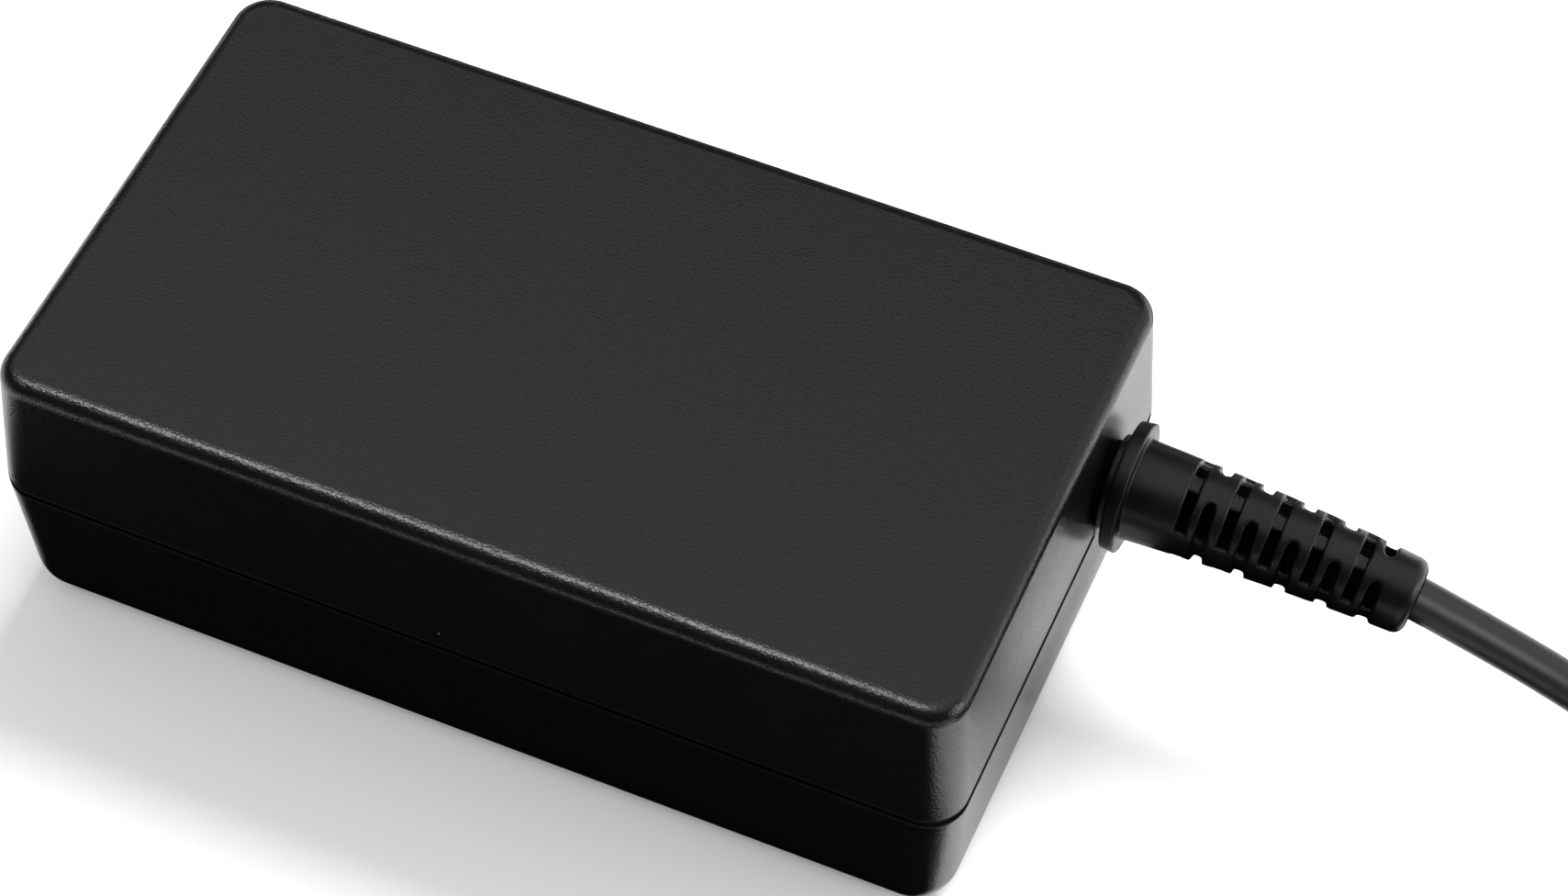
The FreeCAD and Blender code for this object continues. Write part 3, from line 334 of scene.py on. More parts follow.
def reliefTree(material, slotShadeMaterial):
    tree, size = newTree("strainRelief", reliefSizes)
    point = addNode(tree, "GeometryNodeInputPosition")
    inMillimetres = addNode(tree, "ShaderNodeVectorMath", {0: point, "Scale": 1000.0}, operation="SCALE")
    x, y, z = addNode(tree, "ShaderNodeSeparateXYZ", [inMillimetres]).node.outputs
    ahead = mathNode(tree, "SUBTRACT", x, size["Collar Face"])
    side = mathNode(tree, "SUBTRACT", y, size["Axis Y"])
    above = mathNode(tree, "SUBTRACT", z, size["Axis Z"])

    # Straighten the bent boot: distance along it, height over its axis and angle round it
    toCentre = mathNode(tree, "ADD", above, size["Bend Radius"])
    turn = mathNode(tree, "ARCTAN2", ahead, toCentre)
    spokeLength = lengthOf(tree, ahead, toCentre)
    up = mathNode(tree, "SUBTRACT", spokeLength, size["Bend Radius"])
    along = mathNode(tree, "MULTIPLY", turn, size["Bend Radius"])
    radius = lengthOf(tree, up, side)
    front = mathNode(tree, "MULTIPLY", side, -1.0)
    angle = mathNode(tree, "ARCTAN2", front, up)

    # Tapered body with a domed tip, a quarter ellipse in section
    skin = addNode(tree, "ShaderNodeMapRange",
                   [along, 0.0, size["Boot Length"], size["Root Radius"], size["Tip Radius"]], clamp=False)
    pastTip = mathNode(tree, "SUBTRACT", along, size["Boot Length"])
    domeFoot = mathNode(tree, "SUBTRACT", skin, size["Dome Width"])
    fromFoot = mathNode(tree, "SUBTRACT", radius, domeFoot)
    outShare = mathNode(tree, "DIVIDE", fromFoot, size["Dome Width"])
    endShare = mathNode(tree, "DIVIDE", pastTip, size["Dome Height"])
    domeReach = lengthOf(tree, *[mathNode(tree, "MAXIMUM", share, 0.0) for share in (outShare, endShare)])
    pastDome = mathNode(tree, "SUBTRACT", domeReach, 1.0)
    cone = mathNode(tree, "MULTIPLY", pastDome, size["Dome Width"])
    behind = mathNode(tree, "MULTIPLY", along, -1.0)
    shape = mathNode(tree, "MAXIMUM", cone, behind)

    # Rows of slots down to the sleeve, with their narrow webs set back
    setBack = mathNode(tree, "SUBTRACT", skin, size["Web Recess"])
    overWeb = mathNode(tree, "SUBTRACT", setBack, radius)
    shallowFloor = mathNode(tree, "SUBTRACT", skin, size["Shallow Recess"])
    upperFloor = mathNode(tree, "SUBTRACT", skin, size["Upper Recess"])
    farFloor = addNode(tree, "ShaderNodeMapRange", [angle, size["Shallow From"], size["Deep From"],
                                                    shallowFloor, upperFloor])
    risingFloor = addNode(tree, "ShaderNodeMapRange", [angle, size["Upper To"], 0.0, farFloor,
                                                       size["Sleeve Radius"]])
    unfilled = -9.0    # in millimetres past the slot's edge, so far inside that nothing is filled
    for row in slotRows:
        fromFirst = mathNode(tree, "SUBTRACT", along, row["first"])
        share = mathNode(tree, "DIVIDE", fromFirst, size["Slot Pitch"])
        nearest = mathNode(tree, "ROUND", share)
        level = addNode(tree, "ShaderNodeClamp", [nearest, 0.0, size["Last Level"]])
        levelAlong = mathNode(tree, "MULTIPLY", level, size["Slot Pitch"])
        offset = mathNode(tree, "SUBTRACT", fromFirst, levelAlong)
        twist = mathNode(tree, "MULTIPLY_ADD", levelAlong, size["Twist"], row["turn"])
        spun = mathNode(tree, "SUBTRACT", angle, twist)
        folded = mathNode(tree, "PINGPONG", spun, math.pi / 2)
        fromMiddle = mathNode(tree, "SUBTRACT", folded, row["middle"])
        awayFromMiddle = mathNode(tree, "ABSOLUTE", fromMiddle)
        pastEnd = mathNode(tree, "SUBTRACT", awayFromMiddle, row["half"])
        arcPastEnd = mathNode(tree, "MULTIPLY", pastEnd, radius)
        awayFromPlane = mathNode(tree, "ABSOLUTE", offset)
        pastSide = mathNode(tree, "SUBTRACT", awayFromPlane, row["width"] / 2)
        if row["roundEnds"]:
            intoEnd = mathNode(tree, "ADD", arcPastEnd, row["endLength"])
            pastStart = mathNode(tree, "MAXIMUM", intoEnd, 0.0)
            endReach = mathNode(tree, "MULTIPLY", pastStart, row["width"] / 2 / row["endLength"])
            cornerLength = lengthOf(tree, endReach, offset)
            outline = mathNode(tree, "SUBTRACT", cornerLength, row["width"] / 2)
            floor = size["Sleeve Radius"]
        else:
            outline = mathNode(tree, "SMOOTH_MAX", arcPastEnd, pastSide, size["Slot Corner"])
            floor = risingFloor
        overFloor = mathNode(tree, "SUBTRACT", floor, radius)
        cut = mathNode(tree, "MAXIMUM", outline, overFloor)
        pastSpan = mathNode(tree, "SUBTRACT", folded, row["webSpan"])
        arcPastSpan = mathNode(tree, "MULTIPLY", pastSpan, radius)
        webSide = mathNode(tree, "MAXIMUM", pastSide, arcPastSpan)
        web = mathNode(tree, "MAXIMUM", webSide, overWeb)
        if row["roundEnds"]:
            # The upper wide webs of the round row are longer, except on the last level
            pastUpper = mathNode(tree, "SUBTRACT", angle, size["Upper End"])
            beforeFront = mathNode(tree, "SUBTRACT", 0.0, angle)
            wider = mathNode(tree, "MINIMUM", pastUpper, beforeFront)
            notLast = mathNode(tree, "GREATER_THAN", size["Last Level"], level)
            arcWider = mathNode(tree, "MULTIPLY", wider, radius)
            fill = addNode(tree, "ShaderNodeMix", {0: notLast, 2: unfilled, 3: arcWider})
            cut = mathNode(tree, "SMOOTH_MAX", cut, fill, size["End Rounding"])
        for gap, rounding in ((cut, row["edge"]), (web, row["shoulder"])):
            solid = mathNode(tree, "MULTIPLY", gap, -1.0)
            shape = mathNode(tree, "SMOOTH_MAX", shape, solid, rounding)

    # Collar, groove, neck through the wall and retainer inside it
    fromAxis = lengthOf(tree, side, above)
    collarHalf = mathNode(tree, "MULTIPLY", size["Collar Thickness"], 0.5)
    fromCollar = mathNode(tree, "ADD", ahead, collarHalf)
    awayFromCollar = mathNode(tree, "ABSOLUTE", fromCollar)
    collarFaces = mathNode(tree, "SUBTRACT", awayFromCollar, collarHalf)
    rimRadius = mathNode(tree, "MULTIPLY_ADD", ahead, size["Collar Draft"], size["Collar Radius"])
    collarRim = mathNode(tree, "SUBTRACT", fromAxis, rimRadius)
    collar = mathNode(tree, "SMOOTH_MAX", collarFaces, collarRim, size["Collar Edge"])
    beforeGroove = mathNode(tree, "SUBTRACT", size["Groove Start"], x)
    grooveRim = mathNode(tree, "SUBTRACT", fromAxis, size["Groove Radius"])
    pastFace = mathNode(tree, "MAXIMUM", beforeGroove, ahead)
    groove = mathNode(tree, "MAXIMUM", pastFace, grooveRim)
    neckRound = mathNode(tree, "SUBTRACT", fromAxis, size["Neck Radius"])
    awayFromSide = mathNode(tree, "ABSOLUTE", side)
    neckSide = mathNode(tree, "SUBTRACT", awayFromSide, size["Neck Radius"])
    underSeam = mathNode(tree, "SUBTRACT", size["Seam Height"], z)
    neckFoot = mathNode(tree, "MAXIMUM", underSeam, above)
    neckSlot = mathNode(tree, "MAXIMUM", neckSide, neckFoot)
    neckOutline = mathNode(tree, "MINIMUM", neckRound, neckSlot)
    beforeNeck = mathNode(tree, "SUBTRACT", size["Retainer Front"], x)
    pastNeck = mathNode(tree, "SUBTRACT", x, size["Groove Start"])
    neckEnds = mathNode(tree, "MAXIMUM", beforeNeck, pastNeck)
    neck = mathNode(tree, "MAXIMUM", neckOutline, neckEnds)
    retainerHalf = mathNode(tree, "MULTIPLY", size["Retainer Size"], 0.5)
    awayFromLevel = mathNode(tree, "ABSOLUTE", above)
    widest = mathNode(tree, "MAXIMUM", awayFromSide, awayFromLevel)
    retainerSide = mathNode(tree, "SUBTRACT", widest, retainerHalf)
    retainerBack = mathNode(tree, "SUBTRACT", beforeNeck, size["Retainer Thickness"])
    retainerFace = mathNode(tree, "MULTIPLY", beforeNeck, -1.0)
    retainerEnds = mathNode(tree, "MAXIMUM", retainerBack, retainerFace)
    retainer = mathNode(tree, "SMOOTH_MAX", retainerSide, retainerEnds, size["Retainer Edge"])
    for part in (collar, groove, neck, retainer):
        shape = mathNode(tree, "MINIMUM", shape, part)

    # Bore for the cord, which rises a little at the tip and opens there into a narrow dark ring
    pastCrown = mathNode(tree, "SUBTRACT", pastTip, size["Dome Height"])
    mouthStart = mathNode(tree, "ADD", pastCrown, size["Mouth Depth"])
    mouth = mathNode(tree, "GREATER_THAN", mouthStart, 0.0)
    bore = mathNode(tree, "MULTIPLY_ADD", mouth, size["Mouth Gap"], size["Bore Radius"])
    beforeRise = mathNode(tree, "SUBTRACT", size["Boot Length"], size["Rise Length"])
    rise = addNode(tree, "ShaderNodeMapRange", [along, beforeRise, size["Boot Length"], 0.0,
                                                size["Bore Rise"]], interpolation_type="SMOOTHSTEP")
    boreUp = mathNode(tree, "SUBTRACT", up, rise)
    fromBore = lengthOf(tree, boreUp, side)
    inBore = mathNode(tree, "SUBTRACT", bore, fromBore)
    shape = mathNode(tree, "MAXIMUM", shape, inBore)

    density = mathNode(tree, "MULTIPLY", shape, -1.0)
    low, high = reliefBlock["low"], reliefBlock["high"]
    block = {"Density": density, "Background": -1.0,
             "Min": [c * mm for c in low], "Max": [c * mm for c in high]}
    for axis, a, b in zip("XYZ", low, high):
        cells = mathNode(tree, "DIVIDE", b - a, size["Voxel"])
        block["Resolution " + axis] = addNode(tree, "FunctionNodeFloatToInt", [cells])
    volume = addNode(tree, "GeometryNodeVolumeCube", block)
    surface = addNode(tree, "GeometryNodeVolumeToMesh", {"Volume": volume, "Threshold": 0.0})
    smooth = addNode(tree, "GeometryNodeSetShadeSmooth", [surface])
    depth = mathNode(tree, "SUBTRACT", skin, radius)
    real = addNode(tree, "GeometryNodeRealizeInstances", [smooth])
    coated = addNode(tree, "GeometryNodeSetMaterial", {"Geometry": real, "Material": material})
    # Painted shade: faces further under the skin than this depth take the darker slot material
    paintedShadeMask = mathNode(tree, "GREATER_THAN", depth, size["Painted Shade Below"])
    slotted = addNode(tree, "GeometryNodeSetMaterial",
                      {"Geometry": coated, "Selection": paintedShadeMask, "Material": slotShadeMaterial})
    addNode(tree, "NodeGroupOutput", [slotted])
    return tree


reliefRubber = mouldedRubber("reliefTpe", "#050505", 0.38)
# Painted shade: faces deep inside the slots get a darker, matt rubber with almost no sheen, so a slot reads
# as a black gap.
slotShadeRubber = mouldedRubber("reliefSlotShadeTpe", "#030303", 0.92, 0.05)
relief = newPiece("strain_relief_boot", growMesh(reliefTree(reliefRubber, slotShadeRubber), reliefSizes))
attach(relief, "root")
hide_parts("strain_relief")
print("strain relief grown:", len(relief.data.polygons), "faces")


# Hook-and-loop straps round the coil
strap = {"width": 8.0, "thickness": 0.8, "angles": (45.0, 225.0), "near": 15.95, "far": 34.09,
         "low": 0.4, "high": 21.4, "corner": 2.4, "flap": 5.5, "flapSlope": 1.5, "cornerSteps": 8,
         "columns": 9, "softEdge": 0.25, "edgeSegments": 3}
nylonLook = {"second": "#2d2e2f", "bandScale": 0.314, "loops": 0.25, "loopShare": 0.8, "strength": 0.9,
             "depth": 0.12}


# Woven nylon with a brushed loop face: dull, fuzzy at the edges, with the weave just visible.
def wovenNylon(name, colour, thread):
    look = nylonLook
    material, tree, surface, place = newMaterial(
        name, colour, Roughness=0.85, **{"Sheen Weight": 0.5, "Sheen Roughness": 0.45})
    cloth = addNode(tree, "ShaderNodeUVMap", uv_map="strapUv")
    weft, warp = [addNode(tree, "ShaderNodeTexWave",
                          {"Vector": cloth, "Scale": look["bandScale"] / (thread * mm)},
                          bands_direction=axis) for axis in "XY"]
    weave = mathNode(tree, "MULTIPLY", weft, warp)
    loops = addNoise(tree, place, look["loops"], 4.0)
    height = mathNode(tree, "MULTIPLY_ADD", loops, look["loopShare"], weave)
    bump = addBump(tree, height, look["strength"], look["depth"])
    tone = mixTones(tree, loops, srgb(colour), srgb(look["second"]))
    linkSurface(tree, surface, {"Base Color": tone, "Normal": bump})
    return material


def strapOutline():
    near, far, low, high, r = (strap[k] for k in ("near", "far", "low", "high", "corner"))
    near, far = near - strap["thickness"] / 2, far + strap["thickness"] / 2
    middle = (near + far) / 2
    flap, slope, top = strap["flap"], strap["flapSlope"], high + strap["thickness"]
    points = [(middle - flap, top), (middle + flap - slope, top), (middle + flap + slope, high)]
    corners = [(far - r, high - r, 90), (far - r, low + r, 0), (near + r, low + r, -90),
               (near + r, high - r, -180)]
    for x, z, start in corners:
        for i in range(strap["cornerSteps"] + 1):
            a = math.radians(start - 90 * i / strap["cornerSteps"])
            points.append((x + r * math.cos(a), z + r * math.sin(a)))
    points.append((middle + flap, high))
    return points


def strapMesh():
    form = bmesh.new()
    uv = form.loops.layers.uv.new("strapUv")
    outline = strapOutline()
    shares = [j / (strap["columns"] - 1) - 0.5 for j in range(strap["columns"])]
    for degrees in strap["angles"]:
        a = math.radians(degrees)
        out, across = Vector((math.cos(a), math.sin(a), 0)), Vector((-math.sin(a), math.cos(a), 0))
        centre = Vector((*coil["centre"], 0))
        rows, run, runs = [], 0.0, []
        for i, (x, z) in enumerate(outline):
            if i:
                run += math.dist(outline[i - 1], (x, z))
            runs.append(run)
            rows.append([form.verts.new((centre + out * x + Vector((0, 0, z))
                                         + across * strap["width"] * share) * mm) for share in shares])
        for i in range(len(rows) - 1):
            for j in range(strap["columns"] - 1):
                face = form.faces.new((rows[i][j], rows[i + 1][j], rows[i + 1][j + 1], rows[i][j + 1]))
                face.smooth = True
                for loop, (u, v) in zip(face.loops, ((i, j), (i + 1, j), (i + 1, j + 1), (i, j + 1))):
                    loop[uv].uv = (runs[u] * mm, strap["width"] * mm * v / (strap["columns"] - 1))
    mesh = bpy.data.meshes.new("cord_straps")
    form.to_mesh(mesh)
    form.free()
    return mesh


strapFabric = wovenNylon("strapWovenNylon", "#191a1b", 0.45)
straps = newPiece("cord_straps", strapMesh(), strapFabric)
thickness = straps.modifiers.new("Thickness", "SOLIDIFY")
thickness.thickness = strap["thickness"] * mm
thickness.offset = 0
softEdge = straps.modifiers.new("Soft edge", "BEVEL")
softEdge.width = strap["softEdge"] * mm
softEdge.segments = strap["edgeSegments"]
softEdge.limit_method = "ANGLE"
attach(straps, "root")
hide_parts("cord_ties")
print("straps tied")


# Plug overmould, turned about its axis
plug = {"tipX": 153.0, "y": -60.0, "z": 5.0, "tipRadius": 2.9, "rootRadius": 3.7, "relief": 12.0,
        "reliefGrooves": 3, "reliefPitch": 3.0, "reliefWidth": 1.0, "reliefFloor": 2.45,
        "gripRadius": 5.0, "grip": 20.0, "gripGrooves": 4, "gripPitch": 2.8, "gripWidth": 1.2,
        "gripFloor": 4.5, "edge": 1.2, "edgeSteps": 10, "boreRadius": 2.25, "sides": 72, "softEdge": 0.18,
        "edgeSegments": 3, "edgeAngle": 35}


def plugProfile():
    p = plug
    points = [(0, p["boreRadius"]), (0, p["tipRadius"])]
    slope = (p["rootRadius"] - p["tipRadius"]) / p["relief"]
    for i in range(p["reliefGrooves"]):
        start = p["reliefPitch"] * (i + 1)
        points += [(start, p["tipRadius"] + slope * start), (start, p["reliefFloor"]),
                   (start + p["reliefWidth"], p["reliefFloor"]),
                   (start + p["reliefWidth"], p["tipRadius"] + slope * (start + p["reliefWidth"]))]
    points.append((p["relief"], p["rootRadius"]))
    for x, fold in ((p["relief"] + p["edge"], 1), (p["relief"] + p["grip"] - p["edge"], -1)):
        turns = [math.radians(90 * i / p["edgeSteps"]) for i in range(p["edgeSteps"] + 1)]
        arc = [(x - fold * p["edge"] * math.cos(a), p["gripRadius"] - p["edge"] + p["edge"] * math.sin(a))
               for a in turns]
        if fold == 1:
            points += arc
            span = (p["gripGrooves"] - 1) * p["gripPitch"] + p["gripWidth"]
            first = p["relief"] + (p["grip"] - span) / 2
            for i in range(p["gripGrooves"]):
                start = first + i * p["gripPitch"]
                end = start + p["gripWidth"]
                points += [(start, p["gripRadius"]), (start, p["gripFloor"]), (end, p["gripFloor"]),
                           (end, p["gripRadius"])]
        else:
            points += arc[::-1]
    points.append((p["relief"] + p["grip"], 0))
    return points


def plugMesh():
    form = bmesh.new()
    profile = plugProfile()
    rings = []
    for along, radius in profile[:-1]:
        rings.append([form.verts.new(((plug["tipX"] - along) * mm,
                                      (plug["y"] + radius * math.sin(2 * math.pi * i / plug["sides"])) * mm,
                                      (plug["z"] + radius * math.cos(2 * math.pi * i / plug["sides"])) * mm))
                      for i in range(plug["sides"])])
    for a, b in zip(rings, rings[1:]):
        for i in range(plug["sides"]):
            k = (i + 1) % plug["sides"]
            form.faces.new((a[i], b[i], b[k], a[k]))
    form.faces.new(rings[-1])
    form.faces.new(rings[0][::-1])
    bmesh.ops.recalc_face_normals(form, faces=form.faces)
    mesh = bpy.data.meshes.new("plug_overmould")
    form.to_mesh(mesh)
    form.free()
    mesh.shade_smooth()
    return mesh


plugRubber = mouldedRubber("plugPvc", "#151615", 0.45)
plugGrip = newPiece("plug_overmould", plugMesh(), plugRubber)
gripEdge = plugGrip.modifiers.new("Soft edge", "BEVEL")
gripEdge.width = plug["softEdge"] * mm
gripEdge.segments = plug["edgeSegments"]
gripEdge.limit_method = "ANGLE"
gripEdge.angle_limit = math.radians(plug["edgeAngle"])
gripEdge.harden_normals = True
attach(plugGrip, "root")
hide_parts("plug_grip")
print("plug moulded")


brassLook = {"rings": 0.15, "alongRings": 0.04, "wear": 2.5, "wearMiddle": (0.35, 0.7), "glossiest": 0.16,
             "dullest": 0.32, "strength": 0.3, "depth": 0.004}


# Nickel-plated brass: a warm silver with the fine rings of the lathe under the plating.
def platedBrass(name, colour, look):
    material, tree, surface, place = newMaterial(name, colour, Metallic=1.0)
    stretched = addNode(tree, "ShaderNodeMapping",
                        {"Vector": place, "Scale": (1, look["alongRings"], look["alongRings"])})
    rings = addNoise(tree, stretched, look["rings"], 2.0)
    wear = addNoise(tree, place, look["wear"], 4.0)
    gloss = addGloss(tree, wear, look["glossiest"], look["dullest"], look["wearMiddle"])
    bump = addBump(tree, rings, look["strength"], look["depth"])
    linkSurface(tree, surface, {"Roughness": gloss, "Normal": bump})
    return material


technicalLook = {"patchGrains": 9, "glossier": 0.06, "duller": 0.08, "strength": 0.5}


# A moulded or pressed engineering material, from its colour, its mottle and the size of its grain.
def technicalFinish(name, look):
    every = technicalLook
    material, tree, surface, place = newMaterial(name, look["colour"], **look.get("shader", {}))
    grain = addNoise(tree, place, look["grain"], 4.0)
    patch = addNoise(tree, place, look["grain"] * every["patchGrains"], 3.0)
    tone = mixTones(tree, patch, srgb(look["colour"]), srgb(look["second"]))
    gloss = addGloss(tree, grain, look["roughness"] - every["glossier"], look["roughness"] + every["duller"])
    bump = addBump(tree, grain, every["strength"], look["relief"])
    linkSurface(tree, surface, {"Base Color": tone, "Roughness": gloss, "Normal": bump})
    return material


metal = {"Metallic": 1.0}
finishes = {
    "inletPbt": ({"colour": "#141414", "second": "#191919", "grain": 0.3, "roughness": 0.4, "relief": 0.01},
                 ["ac_inlet"]),
    "insulatorPom": ({"colour": "#1c1c1c", "second": "#242424", "grain": 0.2, "roughness": 0.35,
                      "relief": 0.006}, ["plug_insulator"]),
    "boardLaminate": ({"colour": "#8a6c33", "second": "#9c7d41", "grain": 0.4, "roughness": 0.5,
                       "relief": 0.02}, ["circuit_board"]),
    "vulcanisedFibre": ({"colour": "#2a2c2a", "second": "#343634", "grain": 0.25, "roughness": 0.7,
                         "relief": 0.02}, ["insulating_sheet"]),
    "mouldedEpoxy": ({"colour": "#1b1b1d", "second": "#242426", "grain": 0.12, "roughness": 0.55,
                      "relief": 0.008}, ["fuse", "bridge_rectifier", "switching_transistor", "control_chip",
                                         "optocoupler", "output_rectifier"]),
    "capacitorPbt": ({"colour": "#c9a227", "second": "#d4b03a", "grain": 0.3, "roughness": 0.42,
                      "relief": 0.01}, ["x_capacitor"]),
    "sinteredFerrite": ({"colour": "#2e2f31", "second": "#3c3d40", "grain": 0.2, "roughness": 0.6,
                         "relief": 0.03}, ["choke_core", "transformer_core", "output_choke"]),
    "printedPetSleeve": ({"colour": "#1d2540", "second": "#26304f", "grain": 0.5, "roughness": 0.3,
                          "relief": 0.01}, ["bulk_capacitor", "output_capacitors"]),
    "rolledAluminium": ({"colour": "#b9bbbd", "second": "#a6a8ab", "grain": 0.3, "roughness": 0.38,
                         "relief": 0.01, "shader": metal},
                        ["primary_heatsink", "secondary_heatsink", "heat_spreader"]),
    "bobbinPhenolic": ({"colour": "#231d19", "second": "#2d2520", "grain": 0.3, "roughness": 0.5,
                        "relief": 0.015}, ["transformer_bobbin"]),
    "windingTape": ({"colour": "#d8b63c", "second": "#caa32c", "grain": 0.6, "roughness": 0.28,
                     "relief": 0.02}, ["transformer_winding"]),
    "ceramicDip": ({"colour": "#2f64a6", "second": "#3a70b0", "grain": 0.5, "roughness": 0.35,
                    "relief": 0.03}, ["y_capacitor"]),
    "polyesterFilm": ({"colour": "#c9b98a", "second": "#d3c597", "grain": 1.2, "roughness": 0.22,
                       "relief": 0.02}, ["insulating_cover"]),
}
for name, (look, users) in finishes.items():
    setFinish(technicalFinish(name, look), *users)
contactMetal = platedBrass("nickelPlatedBrass", "#c8c4b8", brassLook)
setFinish(contactMetal, "plug_barrel", "plug_inner_contact", "inlet_pins")
print("finishes set")


# Choke windings: one wire wound round the ring's section on each side, its turns fanned out by the ring
windingSizes = {"Turns": 10, "Steps": 64, "Ring Middle": 7.25, "Section Width": 5.5, "Section Depth": 9.0,
                "Corner": 0.5, "Span": math.radians(130), "Wire Radius": 0.45}
windingFacets = {"corner": 4, "wire": 10}
copperLook = {"second": "#9c4f22", "pull": 0.9, "glossiest": 0.22, "dullest": 0.34, "coat": 0.6,
              "coatRoughness": 0.12}


# Enamelled copper: bright metal under a clear amber varnish, which gives a warm and even gloss.
def varnishedCopper(name, colour, look):
    material, tree, surface, place = newMaterial(
        name, colour, Metallic=1.0, **{"Coat Weight": look["coat"], "Coat Roughness": look["coatRoughness"]})
    pull = addNoise(tree, place, look["pull"], 3.0)
    gloss = addGloss(tree, pull, look["glossiest"], look["dullest"])
    tone = mixTones(tree, pull, srgb(colour), srgb(look["second"]))
    linkSurface(tree, surface, {"Base Color": tone, "Roughness": gloss})
    return material


def windingTree(material, centre):
    tree, size = newTree("chokeWindings", windingSizes)
    rectangle = addNode(tree, "GeometryNodeCurvePrimitiveQuadrilateral",
                        [size["Section Width"], size["Section Depth"]])
    section = addNode(tree, "GeometryNodeFilletCurve",
                      {"Curve": rectangle, "Count": windingFacets["corner"], "Radius": size["Corner"],
                       "Limit Radius": True}, mode="POLY")
    lastPoint = mathNode(tree, "MULTIPLY", size["Turns"], size["Steps"])
    count = mathNode(tree, "ADD", lastPoint, 1.0)
    line = addNode(tree, "GeometryNodeMeshLine", {"Count": addNode(tree, "FunctionNodeFloatToInt", [count])})
    share = mathNode(tree, "DIVIDE", addNode(tree, "GeometryNodeInputIndex"), lastPoint)
    turned = mathNode(tree, "MULTIPLY", share, size["Turns"])
    place = mathNode(tree, "FRACT", turned)
    sample = addNode(tree, "GeometryNodeSampleCurve", {"Curves": section, "Factor": place}, output=1,
                     mode="FACTOR")
    outward, sideways, _ = addNode(tree, "ShaderNodeSeparateXYZ", [sample]).node.outputs
    fromMiddle = mathNode(tree, "SUBTRACT", share, 0.5)
    angle = mathNode(tree, "MULTIPLY", fromMiddle, size["Span"])
    fromAxis = mathNode(tree, "ADD", outward, size["Ring Middle"])
    across = mathNode(tree, "MULTIPLY", mathNode(tree, "COSINE", angle), fromAxis)
    upward = mathNode(tree, "MULTIPLY", mathNode(tree, "SINE", angle), fromAxis)
    wound = addNode(tree, "ShaderNodeCombineXYZ", [sideways, across, upward])
    moved = addNode(tree, "GeometryNodeSetPosition", {"Geometry": line, "Position": wound})
    wire = addNode(tree, "GeometryNodeMeshToCurve", [moved])
    ring = addNode(tree, "GeometryNodeCurvePrimitiveCircle",
                   {"Resolution": windingFacets["wire"], "Radius": size["Wire Radius"]}, mode="RADIUS")
    tube = addNode(tree, "GeometryNodeCurveToMesh", {"Curve": wire, "Profile Curve": ring, "Fill Caps": True})
    opposite = addNode(tree, "GeometryNodeTransform", {"Geometry": tube, "Rotation": (math.pi, 0, 0)})
    join = addNode(tree, "GeometryNodeJoinGeometry")
    for half in (tube, opposite):
        tree.links.new(half, join.node.inputs[0])
    inPlace = addNode(tree, "GeometryNodeTransform",
                      {"Geometry": join, "Translation": centre, "Scale": (mm, mm, mm)})
    smooth = addNode(tree, "GeometryNodeSetShadeSmooth", [inPlace])
    real = addNode(tree, "GeometryNodeRealizeInstances", [smooth])
    coated = addNode(tree, "GeometryNodeSetMaterial", {"Geometry": real, "Material": material})
    addNode(tree, "NodeGroupOutput", [coated])
    return tree


coreLow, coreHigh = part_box("choke_core")
copper = varnishedCopper("enamelledCopper", "#b8622c", copperLook)
windings = newPiece("choke_turns", growMesh(windingTree(copper, (coreLow + coreHigh) / 2), windingSizes))
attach(windings, "root")
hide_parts("choke_windings")

# Output wires from the cord's inner end down through the board
wires = {"radius": 0.9, "start": 45.3, "bend": 40.5, "foot": 38.9, "y": 13.2, "halfPitch": 1.1,
         "footHalfPitch": 2.4, "z": 23.25, "low": 14.45, "lower": 10.5, "bottom": 6.4}
wireLines = []
for side in (-1, 1):
    startY, footY = (wires["y"] + side * wires[half] for half in ("halfPitch", "footHalfPitch"))
    wireLines.append([(wires["start"], startY, wires["z"]), (wires["bend"], startY, wires["z"])]
                     + [(wires["foot"], footY, wires[height]) for height in ("low", "lower", "bottom")])
wirePvc = extrudedPvc("wirePvc", "#8c1f1c", 0.38, 2 * wires["radius"])
dcWires = smoothCord("dc_wire_pair", wireLines, 2 * wires["radius"], wirePvc)
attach(dcWires, "root")
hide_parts("dc_wires")
print("windings and wires made:", len(windings.data.polygons), "faces of wire")


floorLook = {"colour": "#f4f4f2", "roughness": 0.9, "tooth": 1.2, "strength": 0.1, "depth": 0.02,
             "halfSize": 2.5, "squares": 8}


# Seamless paper: matt and even, so it takes soft shadows without showing itself.
def paperFloor(look):
    material, tree, surface, place = newMaterial("studioPaper", look["colour"], Roughness=look["roughness"])
    bump = addBump(tree, addNoise(tree, place, look["tooth"], 3.0), look["strength"], look["depth"])
    linkSurface(tree, surface, {"Normal": bump})
    form = bmesh.new()
    bmesh.ops.create_grid(form, x_segments=look["squares"], y_segments=look["squares"], size=look["halfSize"])
    mesh = bpy.data.meshes.new("floor")
    form.to_mesh(mesh)
    form.free()
    floor = newPiece("floor", mesh, material)


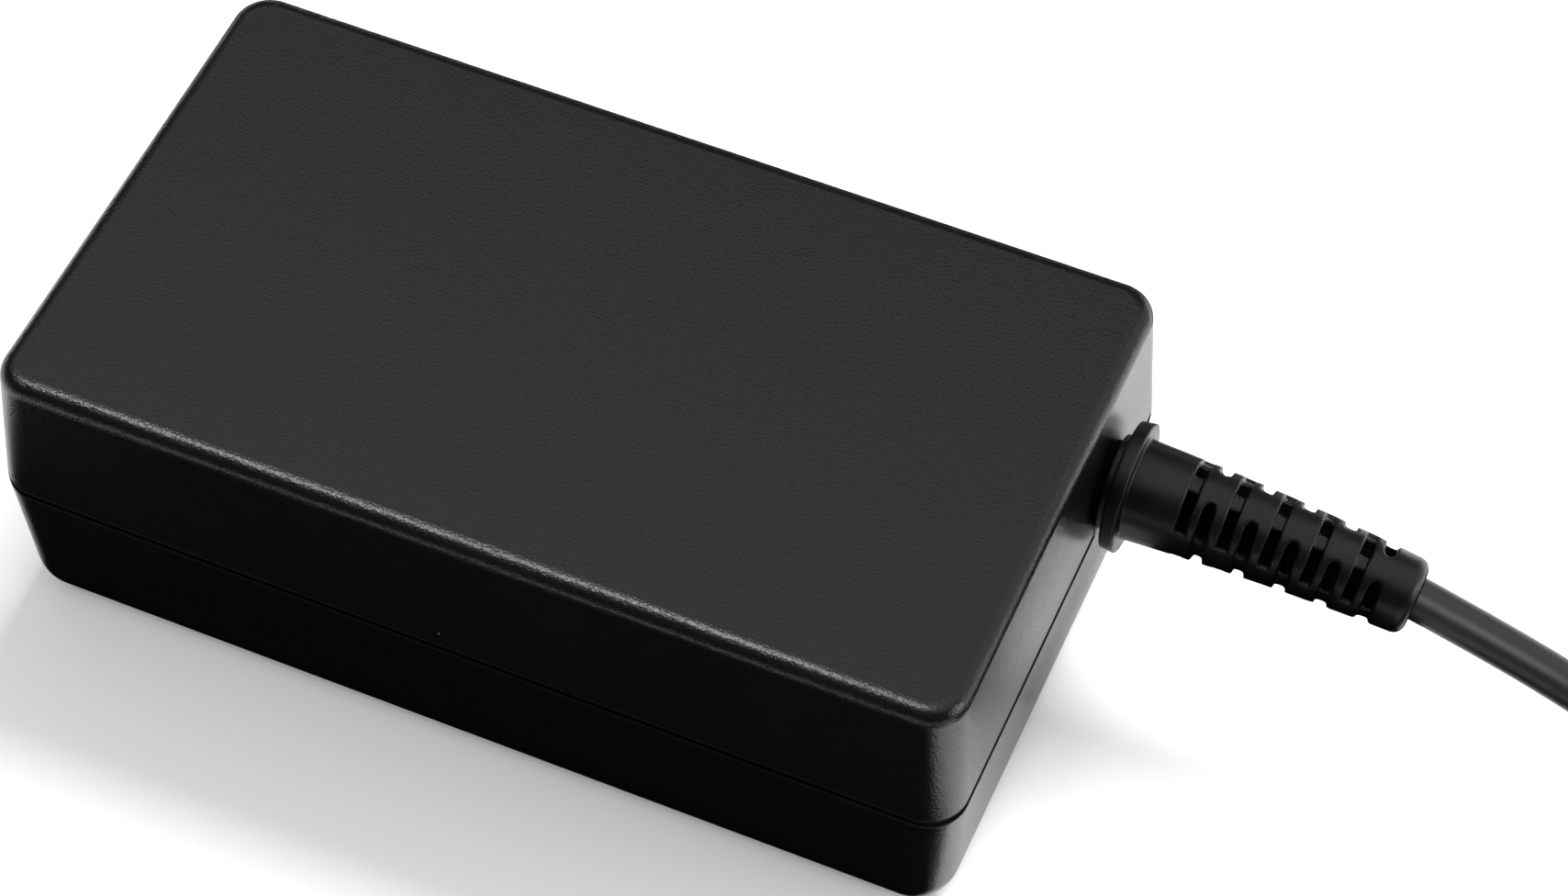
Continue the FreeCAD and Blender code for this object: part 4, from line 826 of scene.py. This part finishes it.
def addSoftbox(name, azimuth, elevation, distance, width, depth, power, shine=True, only=None):
    light = bpy.data.lights.new(name, "AREA")
    light.shape = "RECTANGLE"
    light.size, light.size_y = width, depth
    light.energy = power
    lamp = bpy.data.objects.new(name, light)
    bpy.context.scene.collection.objects.link(lamp)
    a, e = math.radians(azimuth), math.radians(elevation)
    out = Vector((math.cos(e) * math.cos(a), math.cos(e) * math.sin(a), math.sin(e)))
    sideways = (Vector((1, 0, 0)) - out * out.x).normalized()    # the long side runs with the case
    turned = Matrix((sideways, out.cross(sideways), out)).transposed().to_4x4()
    lamp.matrix_world = Matrix.Translation(out * distance) @ turned
    lamp.visible_glossy = shine    # a light with no shine lights the scene but isn't mirrored in the plastic
    if only:    # a flagged light reaches these pieces alone
        lamp.light_linking.receiver_collection = bpy.data.collections.new(name + "Receivers")
        for piece in only:
            lamp.light_linking.receiver_collection.objects.link(piece)


# Matt card lying over the floor, dark unless told otherwise. Only reflections see it, so the gloss of the
# case and of the boot is dark where a card is mirrored, as between the lights of a real studio.
def floorCard(name, left, right, near, far, height=0.2, tone="#050505"):
    material = newMaterial(name, tone, Roughness=1.0)[0]
    corners = [(left, near), (right, near), (right, far), (left, far)]
    mesh = bpy.data.meshes.new(name)
    mesh.from_pydata([(x * mm, y * mm, height * mm) for x, y in corners], [], [(0, 1, 2, 3)])
    card = newPiece(name, mesh, material)
    card.visible_camera = card.visible_diffuse = card.visible_shadow = False


paperFloor(floorLook)
floorCard("cardInFront", -78, 65, -160, -27.5)
floorCard("cardInFrontOfCord", 65, 150, -160, -62)
floorCard("cardUnderRelief", 58, 86, -14, 15, 16)
floorCard("cardBehind", -150, 75, 58, 500)
floorCard("cardUnderCord", 86, 150, -30, 8)
floorCard("cardBesideCase", 53, 58, -1, 24, 0.3, "#b4b4b4")
softboxes = [
    {"name": "keyBehind", "azimuth": 70, "elevation": 50, "distance": 1.3, "width": 1.0, "depth": 0.7,
     "power": 32, "shine": False},
    {"name": "fillInFront", "azimuth": -110, "elevation": 50, "distance": 1.3, "width": 1.2, "depth": 0.8,
     "power": 10.5, "shine": False},
    {"name": "rightSide", "azimuth": 5, "elevation": 18, "distance": 1.1, "width": 0.3, "depth": 0.5,
     "power": 3},
    {"name": "overhead", "azimuth": 90, "elevation": 80, "distance": 1.2, "width": 2.2, "depth": 1.6,
     "power": 8.4},
    {"name": "frontRight", "azimuth": -47, "elevation": 53, "distance": 1.1, "width": 0.5, "depth": 0.5,
     "power": 4.4, "only": [dcCord, plugGrip]},
    {"name": "backRight", "azimuth": 38, "elevation": 16, "distance": 1.2, "width": 1.3, "depth": 1.1,
     "power": 3.4},
    {"name": "topStrip", "azimuth": 195, "elevation": 75, "distance": 1.2, "width": 0.6, "depth": 0.12,
     "power": 6.5, "only": [nodes["upper_shell"], nodes["lower_shell"]]}]
surroundings = {"Color": srgb("#f2f4f7"), "Strength": 0.03}
for box in softboxes:
    addSoftbox(**box)
world = bpy.data.worlds.new("studio")
world.use_nodes = True
for name, value in surroundings.items():
    world.node_tree.nodes["Background"].inputs[name].default_value = value
bpy.context.scene.world = world
bpy.context.scene.view_settings.view_transform = "Standard"
print("floor and light set")
